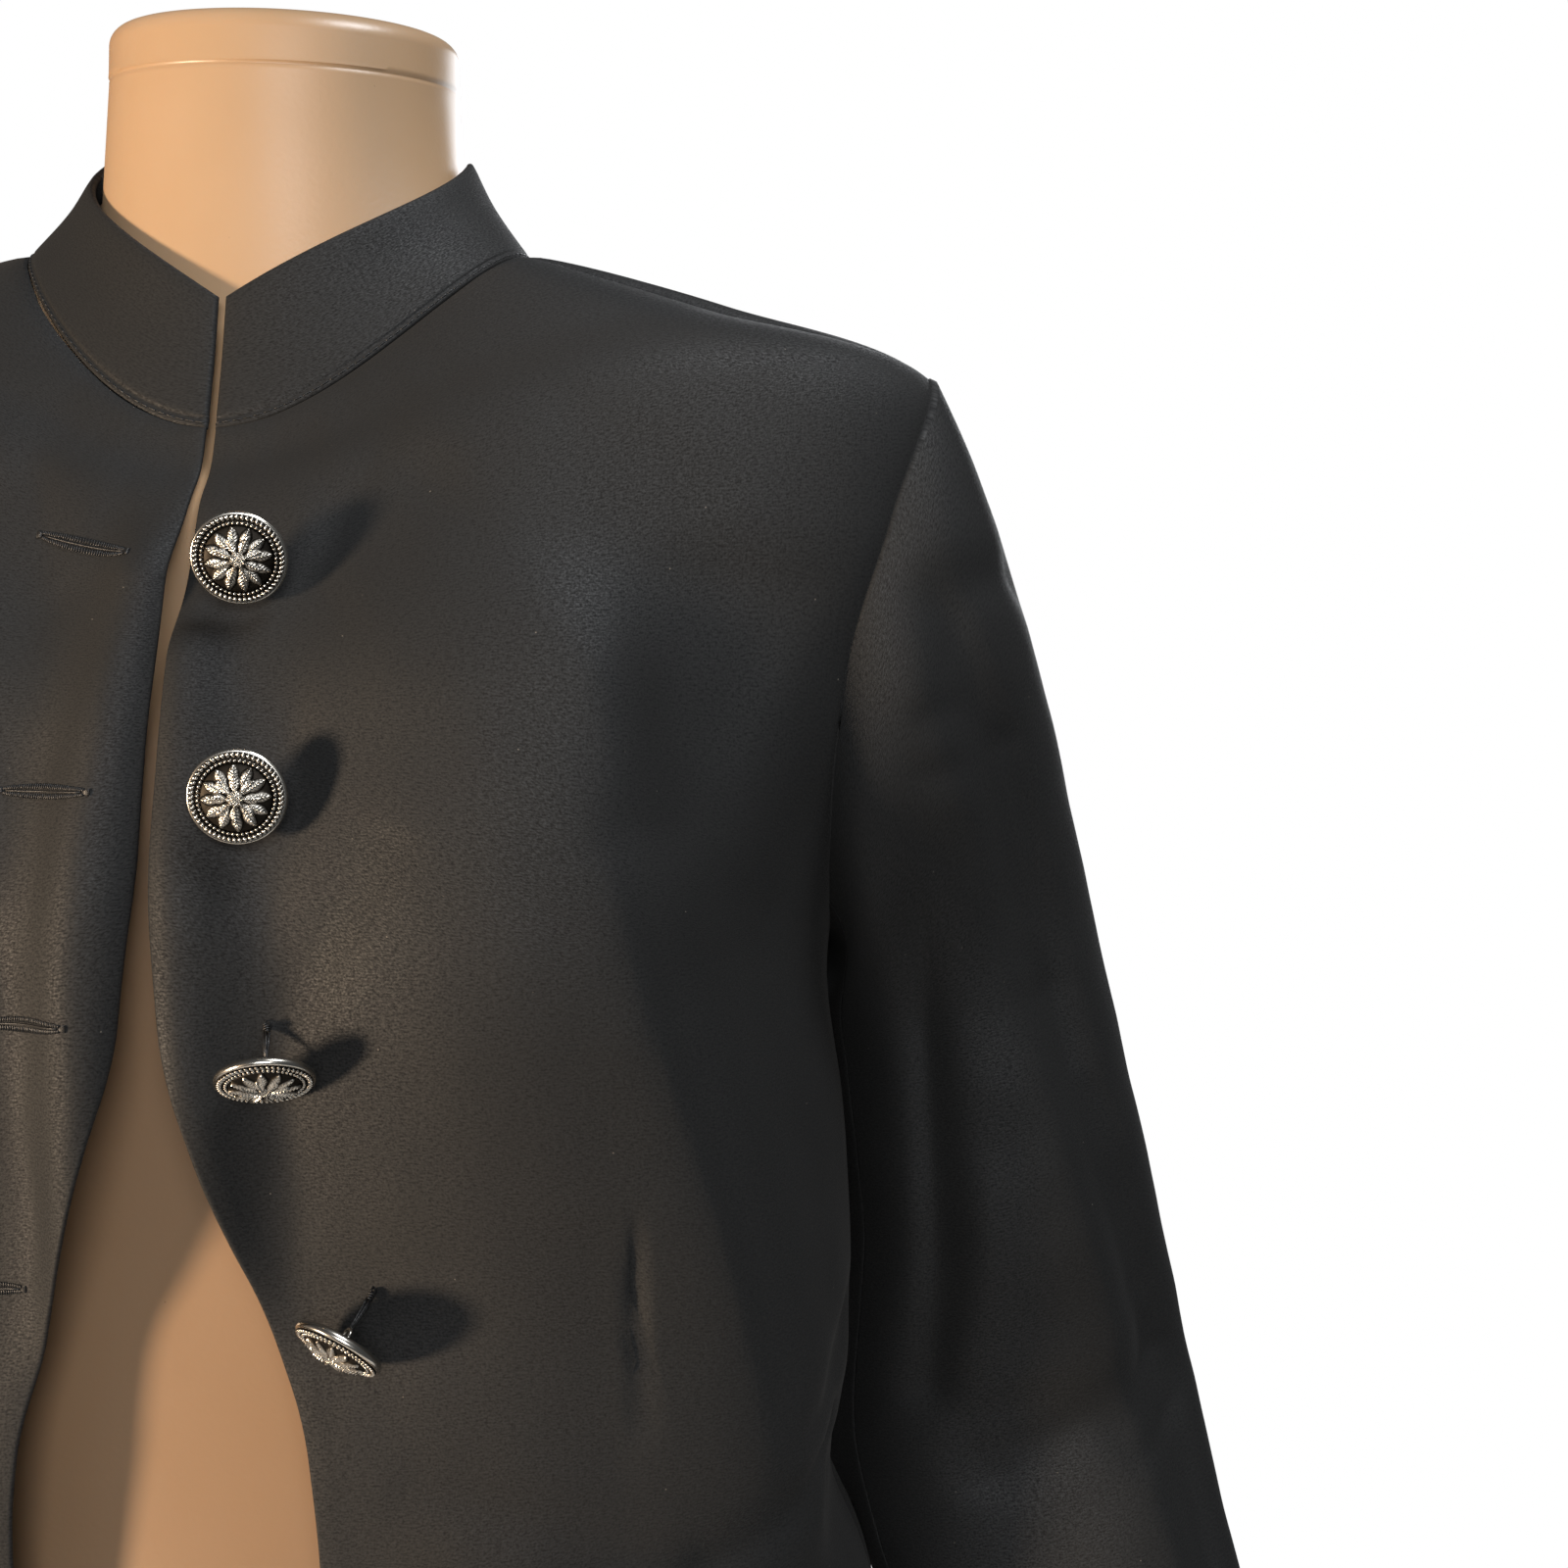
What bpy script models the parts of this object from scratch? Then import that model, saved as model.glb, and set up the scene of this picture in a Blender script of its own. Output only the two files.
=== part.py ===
"""A woman's black stand-collar blazer, worn open on a limbless dress form.

Metres, +Z up. The flat base of the form stands on z = 0, and the axis of its neck is x = y = 0.
The garment faces -Y, and the wearer's left is +X.

Rows run round the body, each at one height of the side line. On a row, angle 0 is the centre
front, 90 the wearer's left side and 180 the centre back.
"""

import math

import bmesh
import bpy
from mathutils import Vector


def named(columns, table):
    """The lines of a table, each with its columns by name."""
    return [dict(zip(columns, line)) for line in table]


CLOTH = 0.0016
COLLAR_CLOTH = 0.0024
# A seam's gap on the outer face. The walls turn towards each other, so inside it is about half of this.
SEAM_GAP = 0.0008
BUTTON_GAP = 0.0007
# The neck's flat top slopes down to the front.
FORM_TOP = 0.758
FORM_TOP_SLOPE = math.radians(16)
FORM_NECK_RADIUS = 0.0510
# The round edge of the top, as how far in and how far down.
FORM_TOP_EDGE = ((0.0, 0.006), (0.0018, 0.0018), (0.006, 0.0))
FORM_SHARP_ANGLE = math.radians(50)

# The cloth's outer face, a line for each row from the hem to the neckline.
ROW_COLUMNS = ("side_z", "front_z", "back_z", "half_width", "front", "back", "centre_y", "squareness")
CLOTH_ROWS = (
    (0.100, 0.100, 0.100, 0.206, 0.142, 0.134, 0.004, 2.30),
    (0.165, 0.165, 0.165, 0.199, 0.130, 0.127, 0.004, 2.35),
    (0.230, 0.230, 0.230, 0.190, 0.116, 0.116, 0.004, 2.40),
    (0.288, 0.288, 0.288, 0.178, 0.104, 0.099, 0.003, 2.50),
    (0.322, 0.322, 0.322, 0.166, 0.098, 0.090, 0.002, 2.55),
    (0.362, 0.362, 0.362, 0.172, 0.101, 0.094, 0.002, 2.55),
    (0.420, 0.420, 0.420, 0.171, 0.105, 0.104, 0.003, 2.50),
    (0.485, 0.485, 0.485, 0.166, 0.108, 0.113, 0.004, 2.40),
    (0.545, 0.538, 0.540, 0.186, 0.101, 0.117, 0.005, 2.40),
    (0.605, 0.576, 0.585, 0.206, 0.092, 0.114, 0.006, 2.40),
    (0.650, 0.600, 0.616, 0.198, 0.082, 0.104, 0.004, 2.30),
    (0.6705, 0.612, 0.647, 0.135, 0.073, 0.086, 0.003, 2.15),
    (0.690, 0.624, 0.675, 0.075, 0.068, 0.070, 0.002, 2.00),
)
UNDERARM_ROW = 7
SHOULDER_TIP_ROW = 10
NECKLINE_ROW = 12

# The dress form's face, a line for each row from the base to the neck.
FORM_ROWS = (
    (0.000, 0.000, 0.000, 0.150, 0.088, 0.096, 0.004, 2.20),
    (0.090, 0.090, 0.090, 0.166, 0.098, 0.106, 0.004, 2.20),
    (0.180, 0.180, 0.180, 0.168, 0.098, 0.108, 0.004, 2.20),
    (0.260, 0.260, 0.260, 0.152, 0.092, 0.092, 0.003, 2.20),
    (0.322, 0.322, 0.322, 0.134, 0.080, 0.078, 0.002, 2.20),
    (0.380, 0.380, 0.380, 0.140, 0.081, 0.084, 0.002, 2.20),
    (0.430, 0.430, 0.430, 0.150, 0.086, 0.094, 0.003, 2.25),
    (0.485, 0.485, 0.485, 0.157, 0.095, 0.104, 0.004, 2.25),
    (0.542, 0.534, 0.536, 0.164, 0.095, 0.109, 0.005, 2.25),
    (0.600, 0.571, 0.580, 0.176, 0.085, 0.107, 0.006, 2.25),
    (0.6455, 0.5966, 0.6126, 0.1876, 0.0786, 0.1006, 0.004, 2.20),
    (0.6684, 0.6088, 0.6438, 0.1328, 0.0708, 0.0828, 0.003, 2.10),
    (0.6882, 0.6218, 0.6698, 0.0728, 0.0616, 0.0641, 0.002, 2.00),
    (0.7060, 0.660, 0.694, 0.0530, 0.0520, 0.0530, 0.000, 2.00),
)
BUST_X, BUST_Z, BUST_WIDTH, BUST_HEIGHT, BUST_DEPTH = 0.088, 0.500, 0.044, 0.052, 0.019

# The front edge, out from the middle, from the hem up to where the fronts meet.
EDGE_COLUMNS = ("height", "out")
FRONT_EDGE = named(EDGE_COLUMNS, (
    (0.100, 0.0470),
    (0.200, 0.0415),
    (0.300, 0.0385),
    (0.345, 0.0375),
    (0.372, 0.0350),
    (0.398, 0.0270),
    (0.430, 0.0150),
    (0.462, 0.0055),
    (0.505, 0.0015),
    (0.700, 0.0010),
))
SIDE_SEAM_Y = 0.008
SHOULDER_SEAM_Y = -0.009
ARMHOLE_FRONT, ARMHOLE_BACK = 0.050, 0.066
# How much broader the armhole is low down.
ARMHOLE_SKEW = 0.16

# Soft folds of the body: from and to in angle and height, then the half breadths to the left and the right
# hand of one who goes along it, and the depth, in metres.
FOLD_COLUMNS = ("from_angle", "from_z", "to_angle", "to_z", "left", "right", "depth")
BODY_FOLDS = named(FOLD_COLUMNS, (
    # The left front: the broad swell that ends in the ridge below the bust, the hollow beside the edge, the
    # edge that turns out, pulls at the chest and waist, flares of the skirt.
    (46, 0.555, 69.5, 0.325, 0.019, 0.052, 0.0110),
    (34, 0.605, 22, 0.580, 0.014, 0.013, -0.0026),
    (20, 0.530, 19, 0.405, 0.042, 0.017, -0.0060),
    (2, 0.560, 5, 0.415, 0.014, 0.014, 0.0080),
    (60, 0.580, 54, 0.520, 0.014, 0.014, -0.0032),
    (78, 0.345, 60, 0.330, 0.008, 0.008, -0.0035),
    (84, 0.372, 70, 0.356, 0.008, 0.008, -0.0030),
    (40, 0.330, 46, 0.120, 0.022, 0.022, 0.0050),
    (72, 0.300, 78, 0.105, 0.020, 0.020, -0.0050),
    # The right front.
    (313, 0.552, 292, 0.330, 0.050, 0.020, 0.0095),
    (331, 0.602, 339, 0.575, 0.013, 0.014, -0.0024),
    (339, 0.525, 342, 0.405, 0.018, 0.038, -0.0050),
    (355, 0.580, 351, 0.400, 0.014, 0.014, 0.0085),
    (301, 0.584, 305, 0.512, 0.013, 0.013, -0.0033),
    (280, 0.340, 297, 0.327, 0.009, 0.009, -0.0034),
    (316, 0.325, 310, 0.110, 0.024, 0.024, 0.0050),
    (285, 0.296, 280, 0.110, 0.019, 0.019, -0.0046),
    # The back: hollows beside the shoulder blades, pulls at the waist, flares of the skirt.
    (126, 0.565, 134, 0.470, 0.015, 0.015, -0.0036),
    (232, 0.560, 227, 0.478, 0.016, 0.016, -0.0034),
    (150, 0.322, 196, 0.334, 0.010, 0.010, -0.0035),
    (215, 0.345, 240, 0.330, 0.009, 0.009, -0.0035),
    (148, 0.296, 142, 0.105, 0.024, 0.024, 0.0060),
    (180, 0.290, 184, 0.110, 0.026, 0.026, -0.0050),
    (214, 0.298, 220, 0.105, 0.024, 0.024, 0.0060),
))
# Round the body, a fold's angles are lengths on a circle of this radius.
BODY_FOLD_RADIUS = 0.13

# The left sleeve below its cap, a line for each ring: its middle, half width and half depth.
SLEEVE_COLUMNS = ("x", "y", "z", "half_width", "half_depth")
SLEEVE_RINGS = (
    (0.2118, 0.040, 0.455, 0.0458, 0.0560),
    (0.2216, 0.042, 0.395, 0.0500, 0.0540),
    (0.2272, 0.048, 0.330, 0.0594, 0.0500),
    (0.2416, 0.032, 0.270, 0.0562, 0.0450),
    (0.2535, 0.010, 0.215, 0.0550, 0.0400),
    (0.2670, -0.004, 0.150, 0.0540, 0.0350),
    (0.2800, -0.018, 0.085, 0.0530, 0.0320),
)
SLEEVE_LEAN = math.radians(12.5)
SLEEVE_SQUARENESS = 2.2
# How far the sleeve starts from the armhole's edge: across the hole, then outwards above and below.
START_ACROSS, START_OUT_ABOVE, START_OUT_BELOW = 0.0008, 0.0004, 0.0019
# The way a sleeve leaves the armhole at the shoulder tip and at the underarm, as out, forward and up,
# the forward part growing to this much at the armhole's front and back.
LEAVES_ABOVE, LEAVES_BELOW = Vector((0.42, 0, -0.88)), Vector((0.62, 0, -0.78))
LEAVES_FORWARD = 0.25
FOREARM_SEAM, HINDARM_SEAM = 150, -135

# Soft folds of a sleeve: from and to in degrees round it, 0 outside and 90 in front, and in height.
SLEEVE_FOLDS = named(FOLD_COLUMNS, (
    (64, 0.575, 66, 0.480, 0.011, 0.011, -0.0040),
    (63, 0.463, 44, 0.372, 0.011, 0.011, -0.0060),
    (40, 0.355, 34, 0.130, 0.011, 0.012, -0.0046),
    (106, 0.490, 118, 0.345, 0.009, 0.009, -0.0034),
    (20, 0.590, 70, 0.585, 0.008, 0.008, -0.0022),
    (26, 0.340, 62, 0.328, 0.009, 0.009, -0.0026),
    (100, 0.320, 40, 0.352, 0.009, 0.009, -0.0028),
    (-60, 0.480, -70, 0.330, 0.012, 0.012, -0.0045),
    (-20, 0.340, -95, 0.318, 0.010, 0.010, -0.0035),
))
SLEEVE_FOLD_RADIUS = 0.052
# The folds fade in over this share of the cap. Those of the right sleeve sit lower by the drop.
FOLD_FADE_IN = 0.25
RIGHT_FOLD_DROP = 0.009

# The stand collar, a line for each row from its seam up: heights and reaches of its outer face.
# Straightness draws the front of a row out of its dip, so that it runs straight down to its end.
COLLAR_COLUMNS = ROW_COLUMNS + ("straightness",)
COLLAR_ROWS = (
    (0.6903, 0.6243, 0.6753, 0.0750, 0.0680, 0.0700, 0.002, 2.00, 0.0),
    (0.7060, 0.6435, 0.6935, 0.0632, 0.0622, 0.0628, 0.001, 2.00, 0.5),
    (0.7205, 0.6605, 0.7105, 0.0560, 0.0580, 0.0572, 0.000, 2.00, 1.0),
)

# The five buttons of the left front: where each is sewn, which way it faces, and its thread's length.
BUTTON_COLUMNS = ("height", "in_from_edge", "face", "thread")
BUTTONS = named(BUTTON_COLUMNS, (
    (0.5870, 0.0150, (0.20, -0.92, -0.31), 0.0108),
    (0.5270, 0.0205, (0.16, -0.97, -0.16), 0.0066),
    (0.4720, 0.0250, (0.15, -0.52, -0.84), 0.0127),
    (0.4060, 0.0300, (-0.40, -0.56, -0.72), 0.0133),
    (0.3360, 0.0230, (0.16, -0.56, -0.81), 0.0136),
))
# Half of a button's section from the crown of its face to the foot of its shank: out and up.
BUTTON_PROFILE = (
    (0.0000, 0.0052),
    (0.0045, 0.0048),
    (0.0082, 0.0034),
    (0.0090, 0.0030),
    (0.0104, 0.0034),
    (0.0115, 0.0022),
    (0.0108, 0.0004),
    (0.0026, 0.0000),
)
THREAD_RADIUS, THREAD_RECESS = 0.0011, 0.0004
# The direction from the centre front in which the buttons' heights are measured, and a short step on it.
BUTTON_ANGLE, BUTTON_STEP = 0.12, 0.02

# How finely the surfaces are cut.
FRONT_COLUMNS, BACK_COLUMNS, SHOULDER_STEPS, ARMHOLE_STEP = 12, 22, 6, 15
COLLAR_STEPS, CAP_ROWS, FORM_COLUMNS, BUTTON_STEPS = 3, 7, 32, 20

SUITING = ("black suiting", (0.020, 0.020, 0.019), 0.62, 0.0)
NICKEL = ("antiqued nickel", (0.42, 0.41, 0.39), 0.34, 1.0)
FORM_PLASTIC = ("tan form plastic", (0.56, 0.33, 0.17), 0.32, 0.0)


def spread(first, last, count):
    return [first + (last - first) * k / count for k in range(count + 1)]


def smooth(values, at):
    """The smooth curve through equally spaced values, at a whole or broken place between them."""
    last = len(values) - 1
    start = min(max(int(at), 0), last - 1)
    t = at - start
    a, b = values[start], values[start + 1]
    before = values[start - 1] if start > 0 else 2 * a - b
    after = values[start + 2] if start + 2 <= last else 2 * b - a
    slope_a, slope_b = (b - before) / 2, (after - a) / 2
    rise = t * t * (3 - 2 * t)
    return a + rise * (b - a) + t * (1 - t) * ((1 - t) * slope_a - t * slope_b)


def row(table, columns, at):
    """The named sizes of a table at a whole or broken line."""
    return {name: smooth([line[k] for line in table], at) for k, name in enumerate(columns)}


def cloth_row(at):
    return row(CLOTH_ROWS, ROW_COLUMNS, at)


def reach(sizes, angle):
    """How far a row reaches from its middle in one direction, as an oval with squarer corners."""
    depth = sizes["front"] if math.cos(angle) > 0 else sizes["back"]
    across = abs(math.sin(angle) / sizes["half_width"]) ** sizes["squareness"]
    along = abs(math.cos(angle) / depth) ** sizes["squareness"]
    return (across + along) ** (-1 / sizes["squareness"])


def fold_depth(folds, angle, z, fold_radius):
    """The sum of the folds that pass near a point, each fading to its sides and its ends."""
    total = 0.0
    point = Vector((angle * fold_radius, z))
    for fold in folds:
        start = Vector((math.radians(fold["from_angle"]) * fold_radius, fold["from_z"]))
        end = Vector((math.radians(fold["to_angle"]) * fold_radius, fold["to_z"]))
        along = end - start
        length = along.length
        along /= length
        place = (point - start).dot(along)
        beyond = place - min(max(place, 0), length)
        off = along.cross(point - start)
        breadth = fold["left"] if off > 0 else fold["right"]
        ends = (fold["left"] + fold["right"]) / 2
        total += fold["depth"] * math.exp(-((off / breadth) ** 2) - (beyond / ends) ** 2)
    return total


def bust(x, z):
    across = (abs(x) - BUST_X) / BUST_WIDTH
    up = (z - BUST_Z) / BUST_HEIGHT
    return BUST_DEPTH * math.exp(-(across**2 + up**2) / 2)


def on_row(sizes, angle, folded=True):
    """The point of a row at an angle, with the bust and the folds added outwards."""
    out = reach(sizes, angle)
    sine, cosine = math.sin(angle), math.cos(angle)
    end_z = sizes["front_z"] if cosine > 0 else sizes["back_z"]
    z = sizes["side_z"] + (end_z - sizes["side_z"]) * cosine**2
    point = Vector((out * sine, sizes["centre_y"] - out * cosine, z))
    lift = fold_depth(BODY_FOLDS, angle, z, BODY_FOLD_RADIUS) if folded else 0
    if cosine > 0:
        point.y -= bust(point.x, z) * cosine
    return point + Vector((sine, -cosine, 0)) * lift


def angle_at_y(sizes, y):
    """Where the left half of a row crosses a plane of one y."""
    angle = math.pi / 2
    for _ in range(12):
        angle = math.acos(max(-1, min(1, (sizes["centre_y"] - y) / reach(sizes, angle))))
    return angle


def angle_at_x(sizes, x):
    """Where the front of a row is a distance out from the middle."""
    angle = 0.0
    for _ in range(6):
        angle = math.asin(x / reach(sizes, angle))
    return angle


def edge_out(z):
    """How far the front edge lies out from the middle at a height."""
    for low, high in zip(FRONT_EDGE, FRONT_EDGE[1:]):
        if z <= high["height"]:
            share = max((z - low["height"]) / (high["height"] - low["height"]), 0)
            return low["out"] + (high["out"] - low["out"]) * share
    return FRONT_EDGE[-1]["out"]


def place_at_height(height, angle):
    """The place in the table of the row that is at a height at one angle."""
    low, high = 0.0, float(NECKLINE_ROW)
    for _ in range(40):
        middle = (low + high) / 2
        if on_row(cloth_row(middle), angle, folded=False).z < height:
            low = middle
        else:
            high = middle
    return (low + high) / 2


UNDERARM_Z = CLOTH_ROWS[UNDERARM_ROW][0]
SHOULDER_TIP_Z = CLOTH_ROWS[SHOULDER_TIP_ROW][0]
ARMHOLE_MIDDLE_Z = (UNDERARM_Z + SHOULDER_TIP_Z) / 2
ARMHOLE_HALF_HEIGHT = (SHOULDER_TIP_Z - UNDERARM_Z) / 2


def armhole_place(turn):
    """The row that the armhole crosses, with turn 0 at the shoulder tip and 180 at the underarm."""
    return place_at_height(ARMHOLE_MIDDLE_Z + ARMHOLE_HALF_HEIGHT * math.cos(turn), math.pi / 2)


def armhole_y(turn):
    """How far forward or back the armhole lies: an egg, broader low down."""
    middle = (SIDE_SEAM_Y + SHOULDER_SEAM_Y) / 2 + (SHOULDER_SEAM_Y - SIDE_SEAM_Y) / 2 * math.cos(turn)
    half = ARMHOLE_FRONT if math.sin(turn) > 0 else ARMHOLE_BACK
    return middle - half * math.sin(turn) * (1 - ARMHOLE_SKEW * math.cos(turn))


def grid_rows():
    """The rows of the body's panels, each with its place inside the panel, its place at the side
    seam, armhole or shoulder seam, and the front panel's last and the back panel's first angle."""
    rows = []
    for half in range(2 * UNDERARM_ROW):
        seam = angle_at_y(cloth_row(half / 2), SIDE_SEAM_Y)
        rows.append((half / 2, half / 2, seam, seam))
    for turn in range(180, -1, -ARMHOLE_STEP):
        inside = SHOULDER_TIP_ROW - (SHOULDER_TIP_ROW - UNDERARM_ROW) * turn / 180
        place = armhole_place(math.radians(turn))
        front = angle_at_y(cloth_row(place), armhole_y(math.radians(turn)))
        back = angle_at_y(cloth_row(place), armhole_y(math.radians(-turn)))
        rows.append((inside, place, front, back))
    for place in spread(SHOULDER_TIP_ROW, NECKLINE_ROW, SHOULDER_STEPS)[1:]:
        seam = angle_at_y(cloth_row(place), SHOULDER_SEAM_Y)
        rows.append((place, place, seam, seam))
    return rows


def half_gap(place, angle):
    """Half a seam's gap as an angle on a row."""
    return SEAM_GAP / 2 / reach(cloth_row(place), angle)


def grid_object(name, rows, material, thickness, closed=False):
    """An open surface through rows of points, faces out, given its wall inwards by Solidify."""
    mesh = bmesh.new()
    points = [[mesh.verts.new(point) for point in line] for line in rows]
    wrap = 0 if closed else 1
    for low, high in zip(points, points[1:]):
        count = len(low)
        for k in range(count - wrap):
            after = (k + 1) % count
            mesh.faces.new((low[k], low[after], high[after], high[k]))
    return finish_mesh(name, mesh, material, thickness)


def finish_mesh(name, mesh, material, thickness=0.0):
    data = bpy.data.meshes.new(name)
    mesh.to_mesh(data)
    mesh.free()
    data.shade_smooth()
    thing = bpy.data.objects.new(name, data)
    PARTS.objects.link(thing)
    data.materials.append(MATERIALS[material[0]])
    if thickness:
        wall = thing.modifiers.new("wall", "SOLIDIFY")
        wall.thickness = thickness
        wall.offset = -1
        wall.use_even_offset = False
    return thing


def mirrored(point):
    return Vector((-point.x, point.y, point.z))


def front_panel(side):
    """A front, from its edge to the side seam, armhole and shoulder seam."""
    rows = []
    for inside, place, last, _ in grid_rows():
        sizes = cloth_row(inside)
        first = angle_at_x(sizes, edge_out(on_row(sizes, 0).z))
        last -= half_gap(place, last)
        line = []
        for share in spread(0, 1, FRONT_COLUMNS):
            sizes = cloth_row(inside + (place - inside) * share**2)
            angle = first + (last - first) * share
            line.append(on_row(sizes, angle if side > 0 else 2 * math.pi - angle))
        rows.append(line[::side])
    return rows


def back_panel():
    rows = []
    for inside, place, _, first in grid_rows():
        start = first + half_gap(place, first)
        line = []
        for share in spread(-1, 1, BACK_COLUMNS):
            sizes = cloth_row(inside + (place - inside) * share**2)
            line.append(on_row(sizes, math.pi + (math.pi - start) * share))
        rows.append(line)
    return rows


def collar_point(sizes, angle):
    point = on_row(sizes, angle, folded=False)
    if math.cos(angle) > 0:
        drop = sizes["side_z"] - sizes["front_z"]
        straight = 1 - math.asin(abs(math.sin(angle))) / (math.pi / 2)
        point.z += drop * (math.cos(angle) ** 2 - straight) * sizes["straightness"]
    return point


def collar_rows():
    """The collar's rows, on the angles of the panels' top edges, open at the centre front."""
    neckline = cloth_row(NECKLINE_ROW)
    seam = angle_at_y(neckline, SHOULDER_SEAM_Y)
    end = angle_at_x(neckline, FRONT_EDGE[-1]["out"])
    left = spread(end, seam, FRONT_COLUMNS)
    behind = spread(seam, 2 * math.pi - seam, BACK_COLUMNS)[1:-1]
    right = [2 * math.pi - angle for angle in reversed(left)]
    angles = left + behind + right
    rows = []
    for at in spread(0, len(COLLAR_ROWS) - 1, COLLAR_STEPS):
        sizes = row(COLLAR_ROWS, COLLAR_COLUMNS, at)
        rows.append([collar_point(sizes, angle) for angle in angles])
    return rows


def sleeve_ring_point(sizes, turn):
    """A point of a sleeve's ring, which lies square to the leaning sleeve."""
    power = 2 / SLEEVE_SQUARENESS
    across = math.copysign(abs(math.cos(turn)) ** power, math.cos(turn)) * sizes["half_width"]
    forward = math.copysign(abs(math.sin(turn)) ** power, math.sin(turn)) * sizes["half_depth"]
    out = Vector((math.cos(SLEEVE_LEAN), 0, math.sin(SLEEVE_LEAN)))
    return Vector((sizes["x"], sizes["y"], sizes["z"])) + out * across + Vector((0, -forward, 0))


def armhole_start(turn, side):
    """Where a sleeve starts at the armhole, a little out from it, and the way that it leaves it.
    Both sleeves are worked out on the left, and the right one is mirrored afterwards."""
    sizes = cloth_row(armhole_place(turn))
    angle = angle_at_y(sizes, armhole_y(turn))
    start = on_row(sizes, angle) if side > 0 else mirrored(on_row(sizes, 2 * math.pi - angle))
    cosine = math.cos(turn)
    share = (1 + cosine) / 2
    away = LEAVES_BELOW.lerp(LEAVES_ABOVE, share) + Vector((0, -LEAVES_FORWARD * math.sin(turn), 0))
    across = Vector((0, -start.y, ARMHOLE_MIDDLE_Z - start.z)).normalized() * START_ACROSS
    out = Vector((START_OUT_BELOW + (START_OUT_ABOVE - START_OUT_BELOW) * share, 0, 0))
    return start + across + out, away.normalized()


def cap_point(turn, share, side):
    """A point of the sleeve's cap, on a curve from the armhole to the sleeve's first ring."""
    start, away = armhole_start(turn, side)
    end = sleeve_ring_point(row(SLEEVE_RINGS, SLEEVE_COLUMNS, 0), turn)
    down = Vector((-math.sin(SLEEVE_LEAN), 0, math.cos(SLEEVE_LEAN)))
    third = (end - start).length / 3
    handle_a, handle_b = start + away * third, end + down * third
    rest = 1 - share
    return (
        start * rest**3
        + handle_a * (3 * rest**2 * share)
        + handle_b * (3 * rest * share**2)
        + end * share**3
    )


def sleeve_point(turn, at, side):
    """A point of the left sleeve: at runs from -1 at the armhole through 0 to the cuff."""
    if at < 0:
        point = cap_point(turn, at + 1, side)
        fade = min((at + 1) / FOLD_FADE_IN, 1)
    else:
        point = sleeve_ring_point(row(SLEEVE_RINGS, SLEEVE_COLUMNS, at), turn)
        fade = 1
    drop = RIGHT_FOLD_DROP if side < 0 else 0
    lift = fold_depth(SLEEVE_FOLDS, turn, point.z + drop, SLEEVE_FOLD_RADIUS) * fade
    return point + Vector((math.cos(turn), -math.sin(turn), 0)) * lift


def sleeve_panel(side, first, last):
    """One piece of a sleeve, between two of its lengthwise seams."""
    count = abs(last - first) // ARMHOLE_STEP
    gap = math.degrees(SEAM_GAP / 2 / SLEEVE_FOLD_RADIUS)
    turns = [math.radians(turn) for turn in spread(first - gap, last + gap, count)]
    places = [k / CAP_ROWS - 1 for k in range(CAP_ROWS)]
    places += [k / 2 for k in range(2 * len(SLEEVE_RINGS) - 1)]
    rows = [[sleeve_point(turn, at, side) for turn in turns] for at in places]
    if side < 0:
        rows = [[mirrored(point) for point in reversed(line)] for line in rows]
    return rows


def form_rim(radius, height):
    """A ring round the neck, sloping with its top."""
    line = []
    for turn in spread(0, 2 * math.pi, FORM_COLUMNS)[:-1]:
        back = -radius * math.cos(turn)
        line.append(Vector((radius * math.sin(turn), back, height + back * math.tan(FORM_TOP_SLOPE))))
    return line


def dress_form():
    """The form in one closed body: rings from the base to the neck, and a flat top with a round edge."""
    last = len(FORM_ROWS) - 1
    rows = []
    for at in spread(0, last, 2 * last):
        sizes = row(FORM_ROWS, ROW_COLUMNS, at)
        turns = spread(0, 2 * math.pi, FORM_COLUMNS)[:-1]
        rows.append([on_row(sizes, turn, folded=False) for turn in turns])
    for inset, drop in FORM_TOP_EDGE:
        rows.append(form_rim(FORM_NECK_RADIUS - inset, FORM_TOP - drop))
    thing = grid_object("dress_form", rows, FORM_PLASTIC, 0, closed=True)
    mesh = bmesh.new()
    mesh.from_mesh(thing.data)
    bmesh.ops.holes_fill(mesh, edges=[edge for edge in mesh.edges if edge.is_boundary])
    mesh.to_mesh(thing.data)
    mesh.free()
    thing.data.set_sharp_from_angle(angle=FORM_SHARP_ANGLE)


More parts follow.
